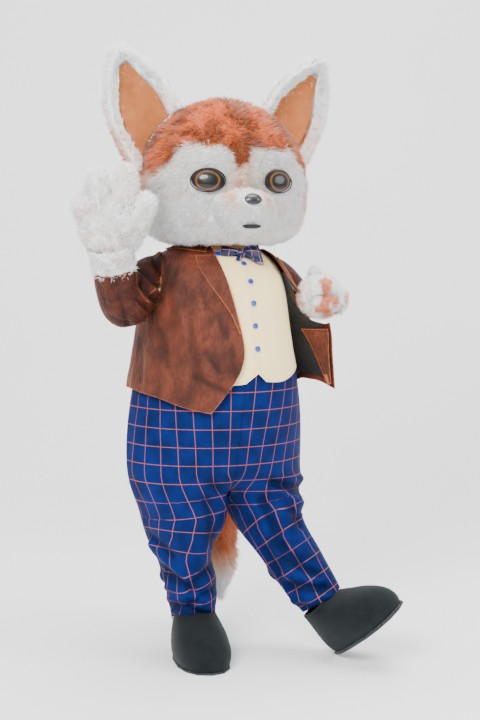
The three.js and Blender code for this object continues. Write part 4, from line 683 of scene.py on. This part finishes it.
def flat_frame(node):
    """Middle, two directions in the plane and the outward direction of a small flat node."""
    points = points_of(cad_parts[node])
    middle = points.mean(0)
    _, _, ways = np.linalg.svd(points - middle)
    out = ways[2]
    if out @ (middle - np.array([0, 0.1, middle[2]])) < 0:
        out = -out
    return middle, ways[0], ways[1], out


def level_frame(node):
    """Middle of a small flat node, with its level, its upward and its outward direction."""
    middle, _, _, out = flat_frame(node)
    level = np.cross((0, 0, 1.0), out)
    level /= np.linalg.norm(level)
    return middle, level, np.cross(out, level), out


def buttons():
    bpy.ops.object.select_all(action="DESELECT")
    bpy.ops.mesh.primitive_cylinder_add(vertices=24, radius=0.0088, depth=0.004)
    pattern = active()
    pattern.name = "button_pattern"
    bpy.ops.object.mode_set(mode="EDIT")
    bpy.ops.mesh.select_all(action="DESELECT")
    bpy.ops.object.mode_set(mode="OBJECT")
    for face in pattern.data.polygons:
        face.select = face.normal.z > 0.9
    bpy.ops.object.mode_set(mode="EDIT")
    bpy.ops.mesh.inset(thickness=0.0018, depth=0)
    bpy.ops.mesh.inset(thickness=0.0009, depth=-0.0010)
    bpy.ops.mesh.select_all(action="DESELECT")
    bpy.ops.object.mode_set(mode="OBJECT")
    modified(pattern, "BEVEL", width=0.0007, segments=2)
    bpy.ops.object.shade_smooth()
    shape = points_of(pattern).copy()
    for k in range(1, 6):
        node = f"button_{k}"
        middle, side, over, out = level_frame(node)
        alone(pattern)
        bpy.ops.object.duplicate()
        button = active()
        button.name = f"{node}_pearl"
        set_points(button, middle + shape @ np.array([side, over, out]))
        worn(button, BUTTON, "button_plastic", node)
    bpy.data.objects.remove(pattern)


BOW_KNOT = placed((2, -186, 1343))[0]
BOW_FRONT = np.array([0.06, -0.84, 0.54]) / np.linalg.norm([0.06, -0.84, 0.54])
# End of each loop, and how much fuller than its solid it is drawn there.
BOW_ENDS = {
    "bow_wing_left": ((76, -176, 1341), 0.5), "bow_wing_right": ((-56, -164, 1352), 0.3),
    "bow_tail": ((-18, -210, 1300), 0.3),
}
GATHERS = 11  # to a radian round the knot
GATHER_DEPTH = 4.0  # mm
PUFF = 5  # mm


def bow():
    for node, (end, fullness) in BOW_ENDS.items():
        piece = copied(node, f"{node}_satin", 3)
        points = points_of(piece)
        along = placed(end)[0] - BOW_KNOT
        reach = np.linalg.norm(along)
        along /= reach
        over = np.cross(along, BOW_FRONT)
        rise = (points - BOW_KNOT) @ along
        off = (points - BOW_KNOT) @ over
        spread = np.arctan2(off, np.maximum(rise, 0.004))
        gathers = np.cos(spread * GATHERS + 0.6) * ease(1.2 - rise / reach) * GATHER_DEPTH
        fuller = over * (off * ease(rise / reach * 1.6) * fullness)[:, None]
        set_points(piece, points + BOW_FRONT * ((gathers + PUFF) * MM)[:, None] + fuller)
        set_grain(piece, off / MM + 15, rise / MM + 4)
        worn(piece, BOW_CHECK, "bow_satin", node)
    knot = copied("bow_knot", "bow_knot_satin", 3)
    points = points_of(knot)
    apart = points - BOW_KNOT
    across = apart @ np.array([0.95, 0.1, 0.25])
    set_points(knot, points + BOW_FRONT * (np.cos(across / MM * 0.9) * 0.7 * MM)[:, None])
    set_grain(knot, across / MM * 1.1 + 6, apart[:, 2] / MM + 9)
    worn(knot, BOW_CHECK, "bow_satin", "bow_knot")
    worn(copied("bow_band", "bow_band_satin", 2), BAND_SATIN, "bow_satin", "bow_band")


# Shoes.
def shoes():
    for side in ("right", "left"):
        upper = copied(f"shoe_upper_{side}", f"shoe_upper_{side}_cloth", 2)
        worn(upper, NEOPRENE, "shoe_cloth", f"shoe_upper_{side}")
        sole = copied(f"shoe_sole_{side}", f"shoe_sole_{side}_rubber", 0)
        alone(sole)
        modified(sole, "BEVEL", width=0.002, segments=2, limit_method="ANGLE")
        bpy.ops.object.shade_smooth_by_angle(angle=math.radians(40))
        worn(sole, RUBBER, "sole_rubber", f"shoe_sole_{side}")


# Eyes, nose and mouth, of a plain design of their own.
EYE_PAINT = (46, 36)  # mm, half width and half height of the painted rings
LID_STEPS = 16
LID_THICKNESS = 0.0045


def eyes():
    for side in ("right", "left"):
        node = f"eye_{side}"
        piece = copied(node, f"{node}_dome", 3)
        middle, level, over, out = level_frame(node)
        apart = points_of(piece) - middle
        set_grain(piece, apart @ level / MM / EYE_PAINT[0], apart @ over / MM / EYE_PAINT[1])
        worn(piece, EYE, "eye_plastic", node)
        lid(side, node, middle, level, over, out)


def lid(side, node, middle, level, over, out):
    """A felt lid sewn round the eye, thick over the top and thin below."""
    apart = points_of(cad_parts[node]) - middle
    flat = np.stack([apart @ level, apart @ over], -1)
    wide, high = np.abs(flat).max(0)
    rows = []
    for k in range(LID_STEPS):
        turn = 2 * math.pi * k / LID_STEPS
        spot = np.array([wide * math.cos(turn), high * math.sin(turn)])
        near = apart[np.linalg.norm(flat - spot, axis=1).argmin()]
        rows.append((turn, middle + level * spot[0] + over * spot[1] + out * (near @ out + 0.001)))
    data = bpy.data.curves.new(f"lid_{side}_felt", "CURVE")
    data.dimensions = "3D"
    data.bevel_depth = LID_THICKNESS
    data.bevel_resolution = 2
    data.resolution_u = 4
    spline = data.splines.new("BEZIER")
    spline.bezier_points.add(len(rows) - 1)
    spline.use_cyclic_u = True
    for point, (turn, place) in zip(spline.bezier_points, rows):
        point.co = Vector(place)
        point.handle_left_type = "AUTO"
        point.handle_right_type = "AUTO"
        point.radius = 0.42 + 0.58 * max(0.0, math.sin(turn))
    alone(put(data.name, data))
    bpy.ops.object.convert(target="MESH")
    piece = active()
    bpy.ops.object.shade_smooth()
    worn(piece, FELT, "mouth_felt")


def nose_and_mouth():
    worn(copied("nose", "nose_vinyl", 3), VINYL, "nose_vinyl", "nose")
    worn(copied("mouth", "mouth_felt", 2), FELT, "mouth_felt", "mouth")


# Plush fur.
NOISE_CELLS = 17  # after so many marks the noise starts again


def lattice_noise(points, size, seed):
    """Smooth noise from 0 to 1 at points, with marks of a given size in mm."""
    table = np.random.default_rng(seed).random((NOISE_CELLS, NOISE_CELLS, NOISE_CELLS))
    spot = points / (size * MM) + 100
    cell = np.floor(spot).astype(int)
    t = spot - cell
    t = t * t * (3 - 2 * t)
    total = np.zeros(len(points))
    for step in itertools.product((0, 1), repeat=3):
        weight = np.abs(1 - np.array(step) - t).prod(1)
        corner = (cell + step) % NOISE_CELLS
        total += weight * table[corner[:, 0], corner[:, 1], corner[:, 2]]
    return total


def dyed(base, *layers):
    """Colours at points: a base, then layers of (colour, amount at each point)."""
    colour = np.array(linear(base)[:3])[None, :]
    for tint, amount in layers:
        t = clamp(amount)[:, None]
        colour = colour * (1 - t) + np.array(linear(tint)[:3])[None, :] * t
    return colour


def triangles_of(piece):
    piece.data.calc_loop_triangles()
    flat = np.empty(len(piece.data.loop_triangles) * 3, np.int32)
    piece.data.loop_triangles.foreach_get("vertices", flat)
    return flat.reshape(-1, 3)


def mesh_from(name, points, faces, tints):
    data = bpy.data.meshes.new(name)
    data.vertices.add(len(points))
    data.vertices.foreach_set("co", points.ravel())
    data.loops.add(len(faces) * 3)
    data.loops.foreach_set("vertex_index", faces.ravel().astype(np.int32))
    data.polygons.add(len(faces))
    data.polygons.foreach_set("loop_start", np.arange(0, len(faces) * 3, 3, dtype=np.int32))
    data.polygons.foreach_set("use_smooth", np.ones(len(faces), bool))
    data.update(calc_edges=True)
    layer = data.attributes.new("dye_with_painted_shade", "FLOAT_COLOR", "POINT")
    layer.data.foreach_set("color", np.c_[tints, np.ones(len(points))].ravel())
    return put(name, data)


def shell_of(nodes):
    """A search tree of several nodes' solids together."""
    points, faces, start = [], [], 0
    for node in nodes:
        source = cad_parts[node]
        points.append(points_of(source))
        faces.append(triangles_of(source) + start)
        start += len(points[-1])
    return BVHTree.FromPolygons(np.vstack(points).tolist(), np.vstack(faces).tolist())


def open_side(tree, middles, normals, reach):
    """True where a face looks out into the open, and not into a hollow."""
    result = np.zeros(len(middles), bool)
    for k, (middle, normal) in enumerate(zip(middles, normals)):
        way = Vector(normal)
        start = Vector(middle) + way * 0.008
        side = way.orthogonal().normalized()
        over = way.cross(side)
        hits = 0
        for a, b in ((0, 0), (1, 0), (-1, 0), (0, 1), (0, -1), (0.7, 0.7), (-0.7, -0.7)):
            ray = (way + side * a + over * b).normalized()
            if tree.ray_cast(start, ray, reach)[0] is not None:
                hits += 1
        result[k] = hits <= 3
    return result


# Painted shade at each lock's root, deep in the pile, and painted light at its tip.
ROOT_PAINTED_SHADE, TIP_PAINTED_LIGHT = 0.7, 1.08  # of a lock's own colour
# Painted shade on the backing, which lies under the pile.
SKIN_PAINTED_SHADE = 0.78
BEND = 0.28  # how far a lock's tip hangs over, as a share of its length
LOCK_FACES = np.array([(0, 1, 3), (1, 2, 3), (2, 0, 3)])


def spread_on(values, corners, weights):
    """Values of a mesh's points, weighted over the corners of the triangle that holds each spot."""
    return (values[corners] * weights[:, :, None]).sum(1)


def plush(node, tree, pile, count, comb, tint, slot, seed, spare=None, reach=0.5, thick=1.9, stand=0.75,
          sink=0.75):
    """Fur on a node: its backing, moved in by the pile, and locks that stand on it.

    comb gives the way that the pile leans at points, and tint its colour; spare is true where no
    lock grows, as round an eye."""
    skin = copied(node, f"{node}_backing", 1)
    points = points_of(skin)
    faces = triangles_of(skin)
    corners = points[faces]
    cross = np.cross(corners[:, 1] - corners[:, 0], corners[:, 2] - corners[:, 0])
    size = np.linalg.norm(cross, axis=1)
    middles = corners.mean(1)
    outward = cross / np.maximum(size, 1e-12)[:, None]
    outside = open_side(tree, middles, outward, reach) & (size > 1e-9)
    normals = np.zeros_like(points)
    for k in range(3):
        np.add.at(normals, faces[outside][:, k], cross[outside])
    strength = np.linalg.norm(normals, axis=1)
    normals /= np.maximum(strength, 1e-12)[:, None]
    sunk = points - normals * pile * sink * MM
    rng = np.random.default_rng(seed)
    chance = np.where(outside, size, 0)
    pick = rng.choice(len(faces), count, p=chance / chance.sum())
    a, b = rng.random(count), rng.random(count)
    flip = a + b > 1
    a[flip], b[flip] = 1 - a[flip], 1 - b[flip]
    weights = np.stack([1 - a - b, a, b], -1)
    root = spread_on(sunk, faces[pick], weights)
    way = spread_on(normals, faces[pick], weights)
    way /= np.linalg.norm(way, axis=1)[:, None]
    surface = spread_on(points, faces[pick], weights)
    if spare is not None:
        kept = ~spare(surface)
        root, way, surface = root[kept], way[kept], surface[kept]
    amount = len(root)
    lean = comb(surface)
    lean -= way * (lean * way).sum(1)[:, None]
    tuft = np.stack([lattice_noise(surface, 15, seed + k) - 0.5 for k in (50, 51, 52)], -1) * 1.5
    direction = way * stand + lean + tuft + rng.normal(0, 0.2, (amount, 3))
    direction /= np.linalg.norm(direction, axis=1)[:, None]
    length = pile * MM * rng.uniform(0.7, 1.45, amount) / stand * 0.85
    side = np.cross(direction, rng.normal(0, 1, (amount, 3)))
    side /= np.linalg.norm(side, axis=1)[:, None]
    over = np.cross(direction, side)
    width = (rng.uniform(0.7, 1.2, amount) * thick * MM)[:, None]
    locks = np.empty((amount, 4, 3))
    for k in range(3):
        turn = 2 * math.pi * k / 3
        locks[:, k] = root - direction * 0.001 + (side * math.cos(turn) + over * math.sin(turn)) * width
    locks[:, 3] = root + direction * length[:, None] + lean * (length * BEND)[:, None]
    shade = rng.uniform(0.82, 1.05, amount) * (0.9 + 0.14 * lattice_noise(surface, 12, seed + 60))
    # Each lock's random tone, with painted shade at its root and painted light at its tip.
    shades = shade[:, None] * (ROOT_PAINTED_SHADE, ROOT_PAINTED_SHADE, ROOT_PAINTED_SHADE, TIP_PAINTED_LIGHT)
    lock_dyes_with_painted_shade_and_light = clamp(tint(surface)[:, None, :] * shades[:, :, None])
    starts = np.arange(amount) * 4 + len(points)
    lock_faces = (LOCK_FACES[None, :, :] + starts[:, None, None]).reshape(-1, 3)
    # The backing takes the fur's colour in painted shade.
    skin_dye_in_painted_shade = clamp(tint(points) * SKIN_PAINTED_SHADE)
    piece = mesh_from(f"{node}_fur", np.vstack([sunk, locks.reshape(-1, 3)]), np.vstack([faces, lock_faces]),
                      np.vstack([skin_dye_in_painted_shade, lock_dyes_with_painted_shade_and_light.reshape(-1, 3)]))
    bpy.data.objects.remove(skin)
    worn(piece, PLUSH, slot, node)


HEAD_MIDDLE = placed((0, -55, 1560))[0]
HEAD_TURN = math.radians(-7)
ORANGE, BROWN, PEACH, WHITE, CREAMY = "#D96B38", "#743C20", "#F2B48E", "#FFFEFC", "#FAEEDD"


def round_head(points):
    """Angle from the face's middle, in degrees, and height over the ground, in mm."""
    x, y = points[:, 0] - HEAD_MIDDLE[0], points[:, 1] - HEAD_MIDDLE[1]
    c, s = math.cos(-HEAD_TURN), math.sin(-HEAD_TURN)
    angle = np.degrees(np.arctan2(x * c - y * s, -(x * s + y * c)))
    return angle, above_ground(points)


def head_dye(points):
    angle, height = round_head(points)
    wander = lattice_noise(points, 40, 3) - 0.5
    patches = lattice_noise(points, 55, 5) * 0.6 + lattice_noise(points, 22, 6) * 0.4
    bridge = np.exp(-((angle + 1) / 9) ** 2)
    flank = ease((np.abs(angle) - 46) / 26)
    brow_line = 1668 - 56 * bridge - 84 * flank + wander * 34
    crown = ease((height - brow_line) / 26)
    side = ease((np.abs(angle) - 58 + wander * 40) / 26) * ease((height - 1440) / 60)
    low = ease((1500 - height) / 90)
    behind = ease((np.abs(angle) - 96 + wander * 30) / 24)
    brown = ease((patches - 0.5) / 0.14) * clamp(crown + behind * 0.5) * (1 - low)
    nose_bridge = np.exp(-((angle + 1) / 7) ** 2) * ease((height - 1520) / 50)
    under_eye = np.exp(-((np.abs(angle) - 12) / 5) ** 2 - ((height - 1520) / 34) ** 2)
    top = np.maximum(crown, behind * (1 - low * 0.75))
    creamy = ease((patches - 0.55) / 0.1) * (1 - crown) * 0.4
    return dyed(WHITE, (PEACH, np.maximum(side * 0.9, under_eye * 0.8)), (PEACH, nose_bridge * 0.9),
                (ORANGE, top), (BROWN, brown * 0.75), (CREAMY, creamy))


def head_comb(points):
    angle, height = round_head(points)
    fall = (0.55 + 0.25 * ease((1700 - height) / 200)) * (0.35 + 0.65 * ease((height - 1390) / 80))
    down = np.array([0, 0, -1.0])[None, :] * fall[:, None]
    spread = np.stack([np.sign(angle) * 0.35, np.full(len(points), 0.25), np.zeros(len(points))], -1)
    swirl = (lattice_noise(points, 60, 11) - 0.5)[:, None] * np.array([1.2, 0, 0])[None, :]
    return down + spread + swirl


def round_things(points):
    """True where the eyes, nose and mouth cover the fur."""
    hidden = np.zeros(len(points), bool)
    for node, grow in (("eye_right", 1.02), ("eye_left", 1.02), ("nose", 1.05), ("mouth", 1.0)):
        low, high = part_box(node)
        near = np.linalg.norm(points - (np.array(low) + np.array(high)) / 2, axis=1) < 0.09
        middle, long_way, short_way, _ = flat_frame(node)
        rim = points_of(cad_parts[node]) - middle
        apart = points - middle
        shares = [apart @ way / (np.abs(rim @ way).max() * grow) for way in (long_way, short_way)]
        hidden |= (shares[0] ** 2 + shares[1] ** 2 < 1) & near
    return hidden


def ear_dye(side):
    base, tip = placed((side * 222, -48, 1700), (side * 358, -48, 1978))
    reach = np.linalg.norm(tip - base)

    def tint(points):
        along = (points - base) @ ((tip - base) / reach) / reach
        wander = lattice_noise(points, 35, 9) - 0.5
        rear = ease((points[:, 1] + 0.035 + wander * 0.03) / 0.03)
        root = ease((0.45 - along + wander * 0.4) / 0.3)
        top = ease((0.8 - along) / 0.4)
        return dyed(WHITE, (PEACH, root * 0.3), (ORANGE, rear * top), (PEACH, rear * 0.3))
    return tint


def ear_comb(points):
    return np.stack([np.sign(points[:, 0]) * 0.35, np.zeros(len(points)), np.full(len(points), 0.6)], -1)


def paw_dye(warm):
    def tint(points):
        patches = lattice_noise(points, 45, 21) * 0.7 + lattice_noise(points, 20, 22) * 0.3
        peach = ease((patches - 0.5) / 0.16)
        orange = ease((patches - 0.56) / 0.1)
        return dyed(WHITE, (PEACH, peach * warm), (ORANGE, orange * warm))
    return tint


def upright_comb(rise):
    """Pile that all leans up, or down where rise is below zero."""
    return lambda points: np.tile(np.array([0, 0, rise]), (len(points), 1))


def tail_dye(points):
    height = above_ground(points)
    wander = lattice_noise(points, 40, 31) - 0.5
    pale = ease((400 - height + wander * 120) / 130)
    brown = ease((lattice_noise(points, 50, 33) - 0.55) / 0.15)
    tip = ease((300 - height) / 90)
    return dyed(ORANGE, (BROWN, brown * 0.6), (PEACH, pale * 0.8), (WHITE, tip))


# How many locks each piece has.
HEAD_LOCKS = {
    "head_crown": 17000, "head_back": 17000, "head_cheek_right": 13500, "head_cheek_left": 11500,
    "head_brow_right": 5500, "head_brow_left": 5200, "head_muzzle": 7000,
}
EAR_LOCKS = {"back": 7500, "trim": 9000}
PAW_LOCKS = {"right": 9000, "left": 6500}
TAIL_LOCKS = {"tail_upper": 16000, "tail_tip": 8000}


def fur():
    share = 1.0
    head = shell_of(HEAD_LOCKS)
    for seed, (node, count) in enumerate(HEAD_LOCKS.items()):
        pile, thick = (9, 1.4) if node == "head_muzzle" else (17, 2.1)
        slot = "orange_fur" if node in ("head_crown", "head_back") else "white_fur"
        plush(node, head, pile, int(count * share), head_comb, head_dye, slot, 100 + seed, round_things,
              thick=thick)
    for side_name, side in (("right", -1), ("left", 1)):
        ear = shell_of([f"ear_back_{side_name}", f"ear_trim_{side_name}", f"ear_inner_{side_name}"])
        for seed, (part, count) in enumerate(EAR_LOCKS.items()):
            slot = "orange_fur" if part == "back" else "white_fur"
            plush(f"ear_{part}_{side_name}", ear, 13, int(count * share), ear_comb, ear_dye(side), slot,
                  120 + seed, reach=0.12, thick=2.0)
        inner = copied(f"ear_inner_{side_name}", f"ear_inner_{side_name}_minky", 2)
        worn(inner, MINKY, "ear_plush", f"ear_inner_{side_name}")
    for side_name, warm in (("right", 0.15), ("left", 0.75)):
        hand = shell_of([f"paw_palm_{side_name}", f"paw_back_{side_name}"])
        for seed, (part, much) in enumerate((("palm", warm * 0.5), ("back", warm))):
            plush(f"paw_{part}_{side_name}", hand, 13, int(PAW_LOCKS[side_name] * share), upright_comb(0.45),
                  paw_dye(much), "paw_plush", 140 + seed, reach=0.25, thick=2.0, sink=0.25)
    tail = shell_of(TAIL_LOCKS)
    for seed, (node, count) in enumerate(TAIL_LOCKS.items()):
        plush(node, tail, 20, int(count * share), upright_comb(-0.9), tail_dye, "tail_plush", 160 + seed,
              thick=2.2, stand=0.5)


trousers()
jacket()
sleeves()
waistcoat()
buttons()
bow()
shoes()
eyes()
nose_and_mouth()
fur()


# Studio. The paper's run away from the camera and its rise over the ground, in metres.
PAPER_ROWS = [(-7, 0), (2.4, 0), (3.0, 0.06), (3.5, 0.3), (3.8, 0.8), (3.9, 1.5), (3.9, 7)]
# Place, width in metres and power in watts.
LAMPS = {
    "key": ((-3.4, -3.6, 2.6), 2.4, 500), "fill": ((3.6, -3.2, 1.8), 3.0, 150),
    "top": ((0.4, -0.4, 3.4), 3.2, 240), "rear": ((2.6, 3.0, 2.4), 2.4, 60),
    "rear_right": ((-3.0, 2.6, 2.2), 2.4, 50),
}


def studio():
    bpy.ops.object.select_all(action="DESELECT")
    bpy.ops.mesh.primitive_plane_add(size=1, location=(0, 0, GROUND))
    floor = active()
    floor.name = "floor"
    ahead = np.array([-math.sin(CAMERA_TURN), math.cos(CAMERA_TURN)])
    right = np.array([math.cos(CAMERA_TURN), math.sin(CAMERA_TURN)])
    points = []
    for deep, high in PAPER_ROWS:
        for wide in (-9, 9):
            points.append((*(ahead * deep + right * wide), GROUND + high))
    faces = [(2 * k, 2 * k + 1, 2 * k + 3, 2 * k + 2) for k in range(len(PAPER_ROWS) - 1)]
    data = bpy.data.meshes.new("floor")
    data.from_pydata(points, [], faces)
    floor.data = data
    floor.location = (0, 0, 0)
    alone(floor)
    modified(floor, "SUBSURF", levels=3, render_levels=3)
    bpy.ops.object.shade_smooth()
    data.materials.append(studio_paper())
    for name, (place, size, power) in LAMPS.items():
        light = bpy.data.lights.new(name, "AREA")
        light.shape = "DISK"
        light.size = size
        light.energy = power
        lamp = put(name, light)
        lamp.location = place
        lamp.rotation_euler = (Vector((0, 0, -0.1)) - Vector(place)).to_track_quat("-Z", "Y").to_euler()
    world = bpy.data.worlds.new("studio")
    world.use_nodes = True
    back = world.node_tree.nodes["Background"]
    back.inputs["Color"].default_value = linear("#EEF0F2")
    back.inputs["Strength"].default_value = 0.72
    bpy.context.scene.world = world


studio()
